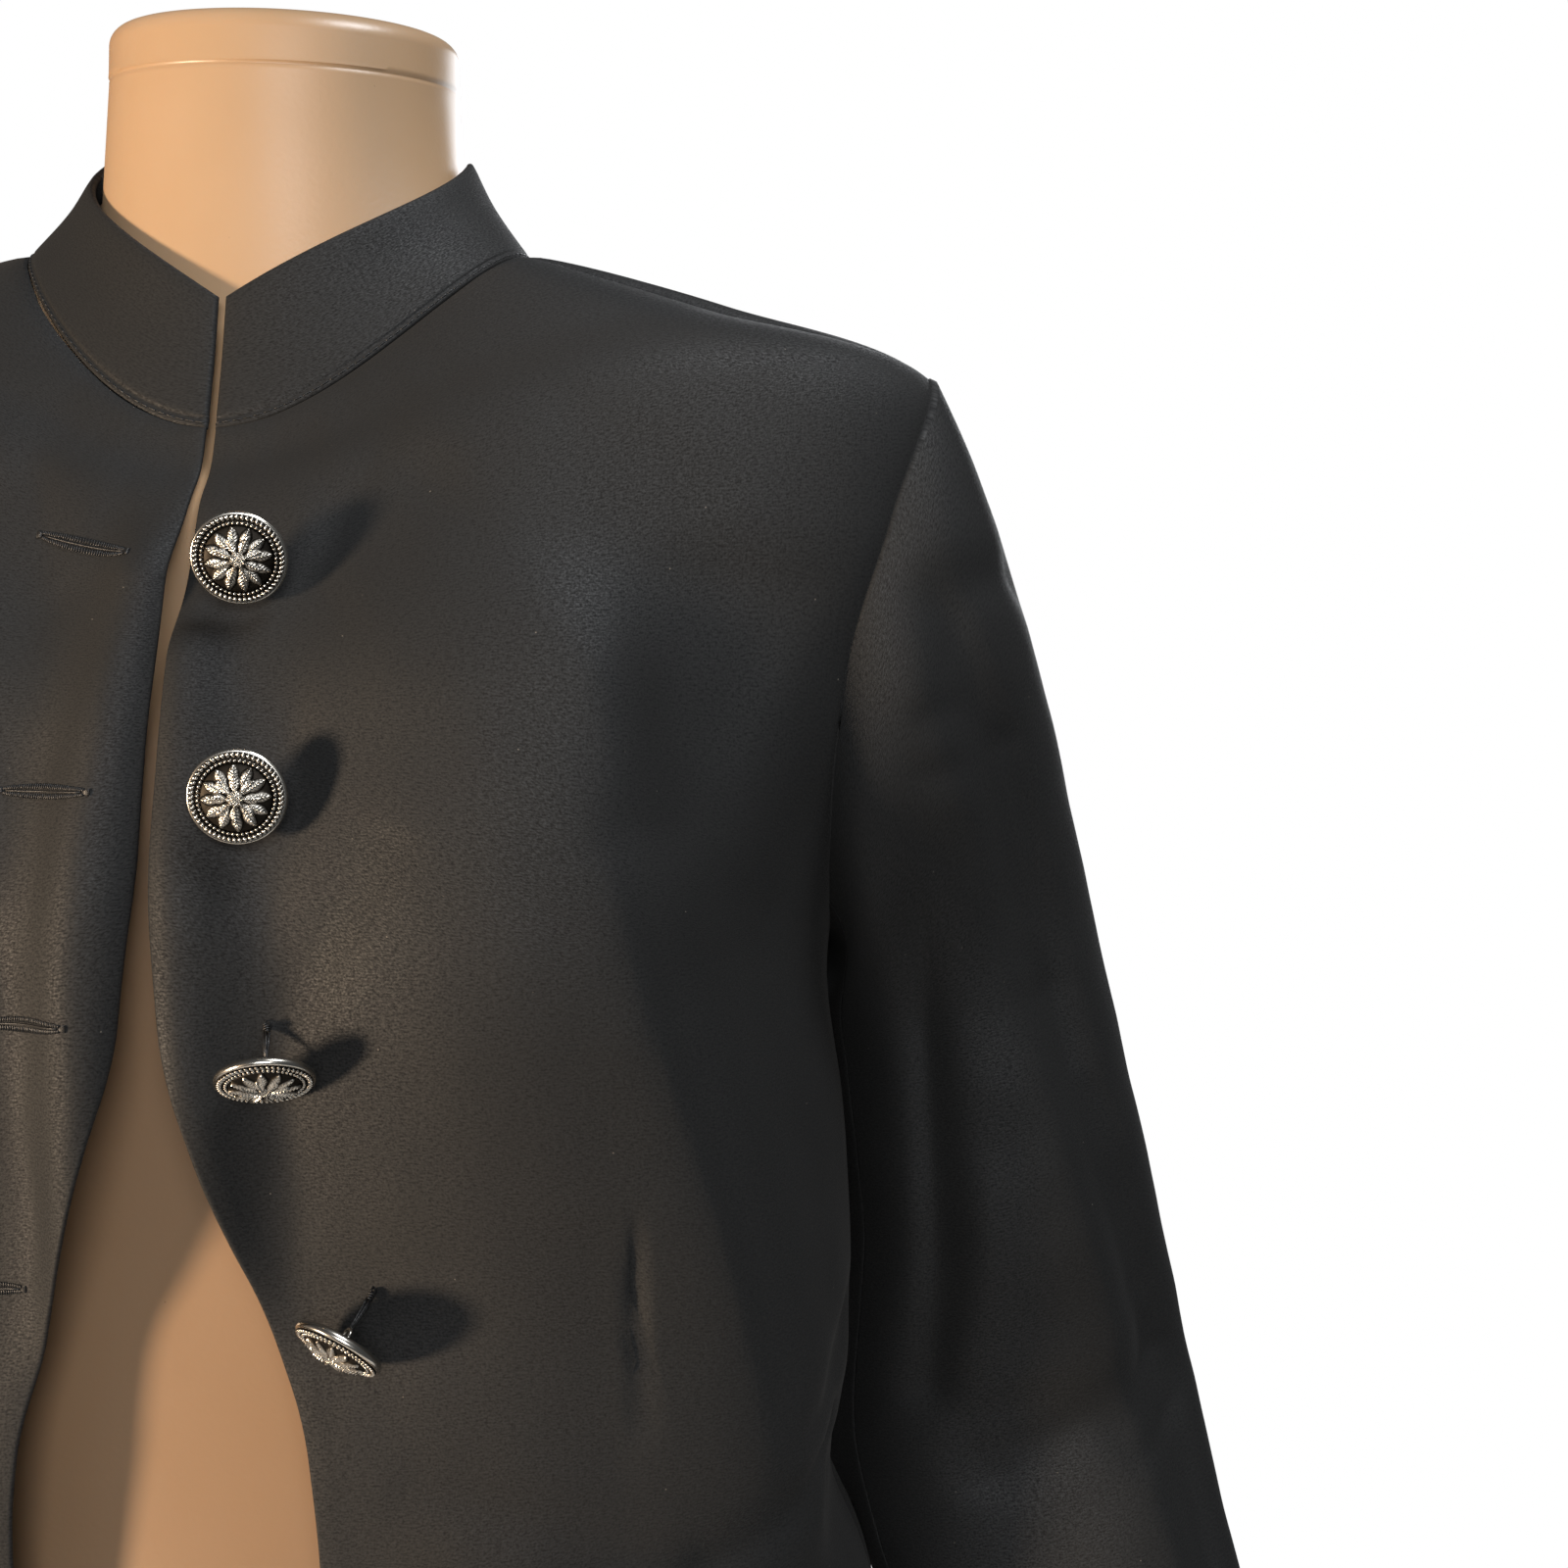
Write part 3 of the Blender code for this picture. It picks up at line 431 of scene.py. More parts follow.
ROLL_RISE, ROLL_BEHIND = 4.6 * MM, 7 * MM


def body_point(place, angle):
    """Points of the folded cloth at places in the table of rows and angles round them."""
    sizes = cloth_row(place)
    z = on_row(sizes, angle)[..., 2]
    round_angle = np.mod(angle, 2 * math.pi)
    points = on_row(sizes, angle, cloth_lift(BODY_FOLDS, BODY_CREASES, round_angle, z, BODY_RADIUS, 1.0))
    # The back's cloth rolls up behind the shoulder seam, so that the seam lies in front of the top.
    behind = np.clip((points[..., 1] - SHOULDER_SEAM_Y) / ROLL_BEHIND, 0, None)
    along = np.clip((place - TIP_ROW) / (NECKLINE_ROW - TIP_ROW), 0, 1)
    points[..., 2] += ROLL_RISE * behind * np.exp(1 - behind) * np.sin(math.pi * along) ** 0.6
    return points


def angle_at_y(sizes, y):
    """Where the left half of rows crosses planes of one y."""
    angle = np.full_like(sizes["side_z"], math.pi / 2)
    for _ in range(12):
        angle = np.arccos(np.clip((sizes["centre_y"] - y) / reach(sizes, angle), -1, 1))
    return angle


def angle_at_x(sizes, x):
    """Where the front of rows is a distance out from the middle."""
    angle = np.zeros_like(sizes["side_z"])
    for _ in range(6):
        angle = np.arcsin(x / reach(sizes, angle))
    return angle


def edge_out(z):
    """How far the front edge lies out from the middle at heights, its corners eased over 16 mm."""
    return np.mean([np.interp(z + step * MM, EDGE_Z, EDGE_OUT) for step in (-8, -5, -2, 2, 5, 8)], axis=0)


def place_at_height(height, angle):
    """The places in the table of the rows that are at heights at one angle."""
    height = np.asarray(height, float)
    low, high = np.zeros_like(height), np.full_like(height, NECKLINE_ROW)
    for _ in range(40):
        middle = (low + high) / 2
        below = on_row(cloth_row(middle), angle)[..., 2] < height
        low, high = np.where(below, middle, low), np.where(below, high, middle)
    return (low + high) / 2


def armhole_place(turn):
    """The row that the armhole crosses, with turn 0 at the shoulder tip and half a turn at the underarm."""
    middle, half = (UNDERARM_Z + TIP_Z) / 2, (TIP_Z - UNDERARM_Z) / 2
    return place_at_height(middle + half * np.cos(turn), math.pi / 2)


def armhole_y(turn):
    """How far forward or back the armhole lies: an egg, broader low down."""
    middle = (SIDE_SEAM_Y + SHOULDER_SEAM_Y) / 2 + (SHOULDER_SEAM_Y - SIDE_SEAM_Y) / 2 * np.cos(turn)
    half = np.where(np.sin(turn) > 0, ARMHOLE_FRONT, ARMHOLE_BACK)
    return middle - half * np.sin(turn) * (1 - ARMHOLE_SKEW * np.cos(turn))


# Where an edge rounds over, the mesh has points this far in from it, in millimetres.
ROUNDING = (0.0, 0.15, 0.4, 0.8, 1.4)


def eased(first, last, count, length):
    """Values from first to last, close together at both ends, where a wall of this length rounds over."""
    ends = np.array(ROUNDING) * MM / length
    shares = np.unique(np.concatenate((ends, spread(ends[-1], 1 - ends[-1], count), 1 - ends)))
    return first + (last - first) * shares


# How finely the panels are cut, and the lengths that they are cut over.
SIDE_CUTS, ARMHOLE_CUTS, SHOULDER_CUTS, FRONT_CUTS, BACK_CUTS = 124, 90, 48, 80, 138
SIDE_LENGTH, SHOULDER_LENGTH, FRONT_WIDTH, BACK_WIDTH = 0.385, 0.13, 0.2, 0.4


def panel_rows():
    """The rows of the body's panels: place inside the panel, place at the seam, and both seams' angles."""
    side = place_at_height(eased(HEM_Z, UNDERARM_Z, SIDE_CUTS, SIDE_LENGTH)[:-1], math.pi / 2)
    turn = spread(math.pi, 0, ARMHOLE_CUTS)
    rising = TIP_ROW - (TIP_ROW - UNDERARM_ROW) * turn / math.pi
    shoulder = eased(TIP_ROW, NECKLINE_ROW, SHOULDER_CUTS, SHOULDER_LENGTH)[len(ROUNDING) :]
    inside = np.concatenate((side, rising, shoulder))
    outside = np.concatenate((side, armhole_place(turn), shoulder))
    seams = [
        np.concatenate((side * 0 + SIDE_SEAM_Y, armhole_y(way * turn), shoulder * 0 + SHOULDER_SEAM_Y))
        for way in (1, -1)
    ]
    return inside, outside, *(angle_at_y(cloth_row(outside), seam) for seam in seams)


PRESS_REACH, PRESS_INSIDE = 2.6 * MM, 0.4


def shell(name, outer, wall, node, tuck):
    """A cloth wall inwards from a grid of outer points, with round edges that seams tuck in."""
    along, up = np.gradient(outer, axis=1), np.gradient(outer, axis=0)
    normal = np.cross(along, up)
    normal /= np.linalg.norm(normal, axis=2, keepdims=True) + 1e-12
    rows, columns = outer.shape[:2]
    across = np.zeros((rows, columns))
    across[:, 1:] = np.cumsum(np.linalg.norm(np.diff(outer, axis=1), axis=2), axis=1)
    height = np.zeros((rows, columns))
    height[1:] = np.cumsum(np.linalg.norm(np.diff(outer, axis=0), axis=2), axis=0)
    edge = np.minimum.reduce((across, across[:, -1:] - across, height, height[-1:] - height))
    radius = wall / 2
    roll = radius * (1 - np.sqrt(1 - np.clip(1 - edge / radius, 0, 1) ** 2))
    pressed = tuck * np.exp(-((edge / PRESS_REACH) ** 2))
    face = outer - normal * (roll + pressed)[..., None]
    back = outer - normal * (wall - roll + pressed * PRESS_INSIDE)[..., None]
    back[0], back[-1], back[:, 0], back[:, -1] = face[0], face[-1], face[:, 0], face[:, -1]
    inner = np.arange(rows * columns).reshape(rows, columns)
    inner[1:-1, 1:-1] = rows * columns + np.arange((rows - 2) * (columns - 2)).reshape(rows - 2, -1)
    points = np.concatenate((face.reshape(-1, 3), back[1:-1, 1:-1].reshape(-1, 3)))
    flat_height = np.broadcast_to(height.mean(1)[:, None], across.shape)
    flat = np.stack((across - across[:, columns // 2, None], flat_height), axis=-1)
    uv = np.concatenate((flat.reshape(-1, 2), flat[1:-1, 1:-1].reshape(-1, 2)))
    outside = quads(rows, columns)
    inside = inner.ravel()[outside][:, ::-1]
    made = piece(name, points, np.concatenate((outside, inside)), suiting, "suiting", node, uv)
    return made, face, normal


def half_gap(place, angle):
    """Half a seam's gap as an angle on rows."""
    return SEAM_GAP / 2 / reach(cloth_row(place), angle)


# The waist dart's line lies in this band of a front's width, which is cut finely enough to show it.
DART_BAND = spread(0.478, 0.532, 22)


def front_grid(side):
    """A front, from its edge to the side seam, armhole and shoulder seam."""
    inside, outside, last, _ = panel_rows()
    first = angle_at_x(cloth_row(inside), edge_out(on_row(cloth_row(inside), 0.0)[:, 2]))
    last = last - half_gap(outside, last)
    share = np.unique(np.concatenate((eased(0, 1, FRONT_CUTS, FRONT_WIDTH), DART_BAND)))
    place = inside[:, None] + (outside - inside)[:, None] * share**2
    angle = first[:, None] + (last - first)[:, None] * share
    points = body_point(place, angle if side > 0 else 2 * math.pi - angle)
    return points[:, ::side]


def back_grid():
    inside, outside, _, first = panel_rows()
    start = first + half_gap(outside, first)
    share = eased(-1, 1, BACK_CUTS, BACK_WIDTH)
    place = inside[:, None] + (outside - inside)[:, None] * share**2
    return body_point(place, math.pi + (math.pi - start)[:, None] * share)


SIDES = {"left": 1, "right": -1}
for name, side in SIDES.items():
    made = shell(f"jacket_front_{name}", front_grid(side), CLOTH, f"front_{name}", SEAM_TUCK)[0]
jacket_back = shell("jacket_back", back_grid(), CLOTH, "back", SEAM_TUCK)[0]

# The stand collar: one band cut in two layers over interfacing, sewn to the neckline and turned under once.
# It stands 36 mm high, leans in to the neck and is open at the centre front.
COLLAR_WALL, COLLAR_TUCK, COLLAR_HEIGHT, COLLAR_LENGTH = 2.4 * MM, 0.2 * MM, 36 * MM, 0.42
COLLAR_CUTS_UP, COLLAR_CUTS_ROUND, GROOVE_CUTS = 44, 210, 9
# The groove that the stitches draw lies 2.2 mm above the seam, which is this share of the collar's height.
GROOVE_AT, GROOVE_DEPTH, GROOVE_WIDTH, GROOVE_BAND = 0.061, 0.35 * MM, 0.65 * MM, (0.036, 0.086)
COLLAR_COLUMNS = ROW_COLUMNS + ("straightness",)
COLLAR_ROWS = (
    (0.6894, 0.6234, 0.6744, 0.0750, 0.0680, 0.0700, 0.002, 2.00, 0.0),
    (0.7060, 0.6435, 0.6935, 0.0632, 0.0622, 0.0628, 0.001, 2.00, 0.5),
    (0.7205, 0.6605, 0.7105, 0.0560, 0.0580, 0.0572, 0.000, 2.00, 1.0),
)
neckline = cloth_row(np.array(float(NECKLINE_ROW)))
collar_end = float(angle_at_x(neckline, EDGE_OUT[-1]))
share = (eased(0, 1, COLLAR_CUTS_UP, COLLAR_HEIGHT), spread(*GROOVE_BAND, GROOVE_CUTS))
share = np.unique(np.concatenate(share))
angle = eased(collar_end, 2 * math.pi - collar_end, COLLAR_CUTS_ROUND, COLLAR_LENGTH)
sizes = row(COLLAR_ROWS, COLLAR_COLUMNS, 2 * share[:, None] + 0 * angle)
groove = GROOVE_DEPTH * np.exp(-(((share - GROOVE_AT) * COLLAR_HEIGHT / GROOVE_WIDTH) ** 2))
collar_grid = on_row(sizes, angle, -groove[:, None] + 0 * angle)
drop = sizes["side_z"] - sizes["front_z"]
straight = 1 - np.arcsin(np.abs(np.sin(angle))) / (math.pi / 2)
lifted = drop * (np.cos(angle) ** 2 - straight) * sizes["straightness"]
collar_grid[..., 2] += np.where(np.cos(angle) > 0, lifted, 0)
stand_collar, collar_face, collar_normal = shell(
    "stand_collar", collar_grid, COLLAR_WALL, "collar", COLLAR_TUCK
)

# The sleeves: set in and cut in two pieces, a broad top sleeve and a narrow under sleeve.
# They hang straight from a smooth cap without gathers, and lean forward from the elbow.
SLEEVE_COLUMNS = ("x", "y", "z", "half_width", "half_depth")
SLEEVE_RINGS = (
    (0.2118, 0.040, 0.455, 0.0458, 0.0560),
    (0.2216, 0.042, 0.395, 0.0500, 0.0540),
    (0.2272, 0.048, 0.330, 0.0594, 0.0500),
    (0.2416, 0.032, 0.270, 0.0562, 0.0450),
    (0.2535, 0.010, 0.215, 0.0550, 0.0400),
    (0.2670, -0.004, 0.150, 0.0540, 0.0350),
    (0.2800, -0.018, 0.085, 0.0530, 0.0320),
)
SLEEVE_LEAN, SLEEVE_SQUARENESS = math.radians(12.5), 2.2
TOP_CUTS, UNDER_CUTS, CAP_CUTS, LENGTH_CUTS, TURNED_IN_CUTS = 112, 30, 56, 122, 5
SLEEVE_WIDTH, CAP_LENGTH, SLEEVE_LENGTH = 0.2, 0.18, 0.375
START_ACROSS, START_OUT_ABOVE, START_OUT_BELOW = 0.0004, -0.0001, 0.0003
# The allowance behind the seam turns in by these two, across the hole and into the body.
ALLOWANCE_ACROSS, ALLOWANCE_IN = 0.0026, 0.0040
LEAVES_ABOVE, LEAVES_BELOW, LEAVES_FORWARD = np.array((0.42, 0, -0.88)), np.array((0.62, 0, -0.78)), 0.25
FOREARM_SEAM, HINDARM_SEAM = 150, -135
SLEEVE_RADIUS, FOLD_FADE_IN, RIGHT_FOLD_DROP = 0.052, 0.25, 0.009
SLEEVE_FOLDS = (
    (64, 575, 66, 480, 0, 11, 11, -4.0),
    (63, 463, 44, 372, 0, 11, 11, -6.0),
    (40, 355, 34, 130, 0, 11, 12, -4.6),
    (106, 490, 118, 345, 0, 9, 9, -3.4),
    (20, 590, 70, 585, 0, 8, 8, -2.2),
    (26, 340, 62, 328, 0, 9, 9, -2.6),
    (100, 320, 40, 352, 0, 9, 9, -2.8),
    (-60, 480, -70, 330, 0, 12, 12, -4.5),
    (-20, 340, -95, 318, 0, 10, 10, -3.5),
)
SLEEVE_CREASES = (
    (52, 560, 55, 440, 2, 4, 7, -1.4),
    (52, 440, 30, 345, -2, 4, 7, -1.6),
    (30, 345, 28, 180, 2, 5, 8, -1.3),
    (66, 552, 88, 544, 1, 3.5, 4.5, -0.8),
    (70, 536, 96, 531, -1, 3.5, 5, -0.9),
    (46, 545, 64, 538, 1, 3, 4, -0.6),
    (110, 470, 122, 352, 2, 3, 5, -1.2),
    (96, 420, 104, 350, -2, 6, 8, 1.0),
    (16, 352, 58, 338, 2, 3, 5, -1.3),
    (20, 336, 66, 318, -2, 3, 5, -1.4),
    (80, 345, 112, 330, 2, 3, 4, -1.1),
    (84, 322, 116, 312, -2, 3, 4, -1.0),
    (60, 300, 72, 180, 3, 5, 9, -1.3),
    (96, 290, 92, 150, 2, 6, 9, -1.0),
    (-10, 540, -18, 400, 2, 6, 9, -1.2),
    (-42, 520, -50, 380, -2, 6, 9, -1.3),
    (-88, 500, -96, 360, 2, 6, 9, -1.2),
    (-14, 350, -62, 334, 2, 3, 5, -1.4),
    (-24, 330, -84, 312, -3, 3, 5, -1.5),
    (-50, 352, -110, 340, 2, 3, 5, -1.0),
    (-30, 290, -26, 150, 2, 6, 10, -1.2),
    (-80, 280, -84, 140, -2, 6, 10, -1.2),
    # The inner side swells towards the body behind the side seam.
    (190, 492, 190, 462, 0, 9, 9, 3.6),
    (188, 350, 186, 292, 0, 13, 13, 7.0),
)


def sleeve_ring_point(at, turn):
    """Points of a sleeve's rings, which lie square to the leaning sleeve."""
    sizes, power = row(SLEEVE_RINGS, SLEEVE_COLUMNS, at), 2 / SLEEVE_SQUARENESS
    across = np.sign(np.cos(turn)) * np.abs(np.cos(turn)) ** power * sizes["half_width"]
    forward = np.sign(np.sin(turn)) * np.abs(np.sin(turn)) ** power * sizes["half_depth"]
    x = sizes["x"] + math.cos(SLEEVE_LEAN) * across
    z = sizes["z"] + math.sin(SLEEVE_LEAN) * across
    return np.stack((x, sizes["y"] - forward, z), axis=-1)


def armhole_start(turn, side):
    """As on the left: where a sleeve starts, the way it leaves the armhole and where its allowance ends."""
    place = armhole_place(turn)
    angle = angle_at_y(cloth_row(place), armhole_y(turn))
    start = body_point(place, angle if side > 0 else 2 * math.pi - angle) * (side, 1, 1)
    share = ((1 + np.cos(turn)) / 2)[:, None]
    away = LEAVES_BELOW + (LEAVES_ABOVE - LEAVES_BELOW) * share
    away = away + np.stack((0 * turn, -LEAVES_FORWARD * np.sin(turn), 0 * turn), axis=-1)
    middle_z = (UNDERARM_Z + TIP_Z) / 2
    across = np.stack((0 * turn, -start[:, 1], middle_z - start[:, 2]), axis=-1)
    across /= np.linalg.norm(across, axis=1, keepdims=True)
    out = START_OUT_BELOW + (START_OUT_ABOVE - START_OUT_BELOW) * share
    hidden = start + across * ALLOWANCE_ACROSS - np.array((ALLOWANCE_IN, 0, 0))
    start = start + across * START_ACROSS + out * (1, 0, 0)
    return start, away / np.linalg.norm(away, axis=1, keepdims=True), hidden


def sleeve_grid(side, first, last, columns):
    """One piece of a sleeve: its cap, curved from the armhole to the first ring, and its length below."""
    gap = SEAM_GAP / 2 / SLEEVE_RADIUS
    turn = eased(math.radians(first) - gap, math.radians(last) + gap, columns, SLEEVE_WIDTH)
    start, away, hidden = armhole_start(turn, side)
    end = sleeve_ring_point(0 * turn, turn)
    down = np.array((-math.sin(SLEEVE_LEAN), 0, math.cos(SLEEVE_LEAN)))
    third = np.linalg.norm(end - start, axis=1, keepdims=True) / 3
    share = eased(-1, 0, CAP_CUTS, CAP_LENGTH)[: -len(ROUNDING), None, None] + 1
    rest = 1 - share
    cap = start * rest**3 + (start + away * third) * (3 * rest**2 * share)
    cap = cap + (end + down * third) * (3 * rest * share**2) + end * share**3
    at = eased(0, len(SLEEVE_RINGS) - 1, LENGTH_CUTS, SLEEVE_LENGTH)[len(ROUNDING) :, None] + 0 * turn
    turned_in = hidden + (start - hidden) * spread(0, 1, TURNED_IN_CUTS)[:-1, None, None]
    points = np.concatenate((turned_in, cap, sleeve_ring_point(at, turn + 0 * at)))
    fade = np.concatenate((np.zeros(len(turned_in)), share[:, 0, 0] / FOLD_FADE_IN, np.ones(len(at))))
    fade = np.clip(fade, 0, 1)[:, None]
    z = points[..., 2] + (RIGHT_FOLD_DROP if side < 0 else 0)
    lift = cloth_lift(SLEEVE_FOLDS, SLEEVE_CREASES, turn, z, SLEEVE_RADIUS, 2.0 + side) * fade
    out = np.stack((np.cos(turn), -np.sin(turn), 0 * turn), axis=-1)
    points = points + out * lift[..., None]
    return points if side > 0 else (points * (-1, 1, 1))[:, ::-1]


for name, side in SIDES.items():
    grid = sleeve_grid(side, FOREARM_SEAM, HINDARM_SEAM, TOP_CUTS)
    made = shell(f"sleeve_top_{name}", grid, CLOTH, f"top_sleeve_{name}", SEAM_TUCK)[0]
    grid = sleeve_grid(side, HINDARM_SEAM + 360, FOREARM_SEAM, UNDER_CUTS)
    made = shell(f"sleeve_under_{name}", grid, CLOTH, f"under_sleeve_{name}", SEAM_TUCK)[0]

# The buttons: five domed shank buttons of cast zinc, 23 mm across, plated in nickel and blackened, so that
# the high places are bright and the hollows dark. Each has a rope rim, a beaded rim and a rosette of leaves.
# They hang from loose thread on the left front, each at its own tilt.

# Each has its height, its place in from the edge, the way it faces, its thread's length and its turn.
BUTTONS = (
    (0.5870, 0.0150, (0.20, -0.92, -0.31), 0.0108, 10),
    (0.5270, 0.0205, (0.16, -0.97, -0.16), 0.0066, 33),
    (0.4720, 0.0250, (0.15, -0.52, -0.84), 0.0127, 4),
    (0.4060, 0.0300, (-0.40, -0.56, -0.72), 0.0133, 21),
    (0.3360, 0.0230, (0.16, -0.56, -0.81), 0.0136, 15),
)
BUTTON_GAP, THREAD_RADIUS, BUTTON_ANGLE, BUTTON_STEP = 0.7 * MM, 1.1 * MM, 0.12, 0.02
DOME_RADIUS, DOME_RISE, DOME_FOOT, FACE_DROP = 8.1 * MM, 1.9 * MM, 2.9 * MM, 0.35 * MM
PLATE_WEAR, PLY, PLY_HEIGHT = 1.1 * MM, 1.2 * MM, 0.05 * MM
NICKEL_BRIGHT, NICKEL_BLACKENED, THREAD_BLACK = "#BDB8AE", "#26231F", "#151515"

nickel, tree, shader = new_material("blackened nickel plate")
relief = add(tree, "Attribute", attribute_name="relief").outputs["Fac"]
place = add(tree, "TexCoord").outputs["Object"]
wear = add(tree, "TexNoise", {"Vector": place, "Scale": 1 / PLATE_WEAR, "Detail": 3.0}).outputs["Fac"]
wear = add(tree, "Math", {0: wear, 1: -0.5}, operation="ADD").outputs[0]
high = add(tree, "Math", {0: wear, 1: 0.5, 2: relief}, operation="MULTIPLY_ADD").outputs[0]
rubbed = add(tree, "MapRange", {"Value": high, "From Min": 0.34, "From Max": 0.78}).outputs[0]
plate = {0: rubbed, 6: linear(NICKEL_BLACKENED), 7: linear(NICKEL_BRIGHT)}
plate = add(tree, "Mix", plate, data_type="RGBA").outputs[2]
dullness = add(tree, "MapRange", {"Value": rubbed, "To Min": 0.50, "To Max": 0.24}).outputs[0]
feed(shader, {"Base Color": plate, "Roughness": dullness, "Metallic": 1.0})

thread_material, tree, shader = new_material("black polyester thread")
place = add(tree, "TexCoord").outputs["Object"]
plies = add(tree, "TexWave", {"Vector": place, "Scale": 1 / PLY, "Distortion": 1.5}).outputs["Fac"]
ply = add(tree, "Bump", {"Height": plies, "Strength": 0.5, "Distance": PLY_HEIGHT}).outputs[0]
feed(shader, {"Normal": ply, "Base Color": linear(THREAD_BLACK), "Roughness": 0.45})

# Two rings of leaves, low and high: how many, turned how far, from and to which radius, how broad and how
# high. Lengths are in millimetres.
LEAF_RINGS = (
    (12, 0.0, 3.4, 8.0, 0.98, 0.75),
    (8, 0.2, 1.5, 5.9, 1.00, 1.00),
)
MIDRIB, MIDRIB_RISE, VEINS, VEIN_LEAN, VEIN_RISE = 0.16 * MM, 0.35, 6, 1.3, 0.22
MIDDLE_RADIUS, MIDDLE_RISE, SEEDS_WITHIN = 2.1 * MM, 0.85 * MM, 1.8 * MM
SEED_RISE, SEED_SINK, SEED_SPACING, SEED_COUNT = 0.30 * MM, 0.1 * MM, 0.42 * MM, 9
FULL_RELIEF = 0.8 * MM


def leaves(radius, turn, count, offset, first, last, breadth, rise):
    """The height of a ring of pointed leaves with a midrib and veins, over a disc's radii and turns."""
    share = np.clip((radius - first * MM) / ((last - first) * MM), 0, 1)
    away = np.abs(np.mod(turn - offset + math.pi / count, 2 * math.pi / count) - math.pi / count)
    half = math.pi / count * breadth * np.sin(math.pi * share**0.75) ** 0.8 + 1e-6
    side = away / half
    body = np.where((side < 1) & (share > 0) & (share < 1), np.sqrt(np.clip(1 - side**2, 0, 1)), 0)
    midrib = MIDRIB_RISE * np.exp(-((away * radius / MIDRIB) ** 2))
    veins = VEIN_RISE * np.cos(2 * math.pi * (share * VEINS - side * VEIN_LEAN)) * np.clip(1 - side, 0, 1)
    return rise * MM * body * (0.75 + midrib + veins)


def rosette(radius, turn):
    """The dome's relief: leaves and a seeded middle, as heights and as shares of the full relief."""
    seeds = SEED_RISE * np.cos(turn * SEED_COUNT) * np.cos(radius / SEED_SPACING * math.pi)
    middle = MIDDLE_RISE * np.sqrt(np.clip(1 - (radius / MIDDLE_RADIUS) ** 2, 0, 1))
    middle = np.where(radius < SEEDS_WITHIN, middle + np.clip(seeds, -SEED_SINK, 1), middle)
    height = np.maximum.reduce([middle] + [leaves(radius, turn, *ring) for ring in LEAF_RINGS])
    return height, np.clip(height / FULL_RELIEF, 0, 1)


def turned(points, angle):
    """Points turned about the Z axis."""
    cosine, sine = math.cos(angle), math.sin(angle)
    x, y, z = points.T
    return np.stack((x * cosine - y * sine, x * sine + y * cosine, z), axis=-1)


def joined(parts):
    """Several (points, faces) as one."""
    starts = np.cumsum([0] + [len(points) for points, _ in parts])
    faces = [faces + start for (_, faces), start in zip(parts, starts)]
    return np.concatenate([points for points, _ in parts]), np.concatenate(faces)


BEAD_AROUND, BEAD_DOWN, BEAD_POLE = 8, 5, 0.12


def beads(count, ring, height, radius, long, lean):
    """A ring of small beads, longer across the ring, and leaning as a rope's strands do."""
    across = spread(0, 2 * math.pi, BEAD_AROUND)[:-1]
    down = spread(BEAD_POLE, math.pi - BEAD_POLE, BEAD_DOWN)[:, None]
    out = np.sin(down)
    ball = np.stack((out * np.cos(across), out * np.sin(across), np.cos(down) + 0 * across), axis=-1)
    ball = ball.reshape(-1, 3)
    leaning = turned(ball * (radius * long, radius, radius), lean) + (ring, 0, height)
    faces = quads(BEAD_DOWN + 1, BEAD_AROUND, closed=True)[:, ::-1]
    points, faces = joined([(turned(leaning, 2 * math.pi * k / count), faces) for k in range(count)])
    return points, faces, np.tile(np.clip(ball[:, 2] * 0.8 + 0.25, 0, 1), count)


def tube(path, radius, sides=8):
    """A round bar along a path of points, closed at its ends by rings shrunk to almost nothing."""
    path = np.asarray(path, float)
    along = np.gradient(path, axis=0)
    path, along = (np.concatenate((line[:1], line, line[-1:])) for line in (path, along))
    radii = np.full(len(path), radius)
    radii[[0, -1]] = radius * 0.02
    along /= np.linalg.norm(along, axis=1, keepdims=True)
    beside = np.cross(along, (0.31, 0.87, 0.38))
    beside /= np.linalg.norm(beside, axis=1, keepdims=True)
    above = np.cross(along, beside)
    turn = spread(0, 2 * math.pi, sides)[:-1]
    ring = beside[:, None] * np.cos(turn)[:, None] + above[:, None] * np.sin(turn)[:, None]
    return (path[:, None] + ring * radii[:, None, None]).reshape(-1, 3), quads(len(path), sides, closed=True)


# The turned profile of the disc from its back to the dome's foot, radius and height in millimetres, and how
# bright each place is rubbed.
DISC_OUT = 0.02, 8.0, 10.6, 11.2, 11.5, 11.42, 11.0, 10.5, 9.9, 9.3, 8.7, 8.3, 8.1
DISC_UP = 0.0, 0.0, 0.25, 0.7, 1.4, 2.1, 2.5, 2.35, 2.2, 2.25, 2.4, 2.6, 2.75
DISC_BRIGHT = 0.5, 0.6, 0.9, 1.0, 1.0, 1.0, 0.9, 0.3, 0.1, 0.1, 0.2, 0.2, 0.2
DISC_AROUND, DOME_CUTS, SHANK_CUTS = 216, 50, 14
SHANK_BEND, SHANK_DOWN, SHANK_TOP, WIRE_RADIUS, WIRE_BRIGHT = 1.7 * MM, 1.6 * MM, 0.2 * MM, 0.48 * MM, 0.9


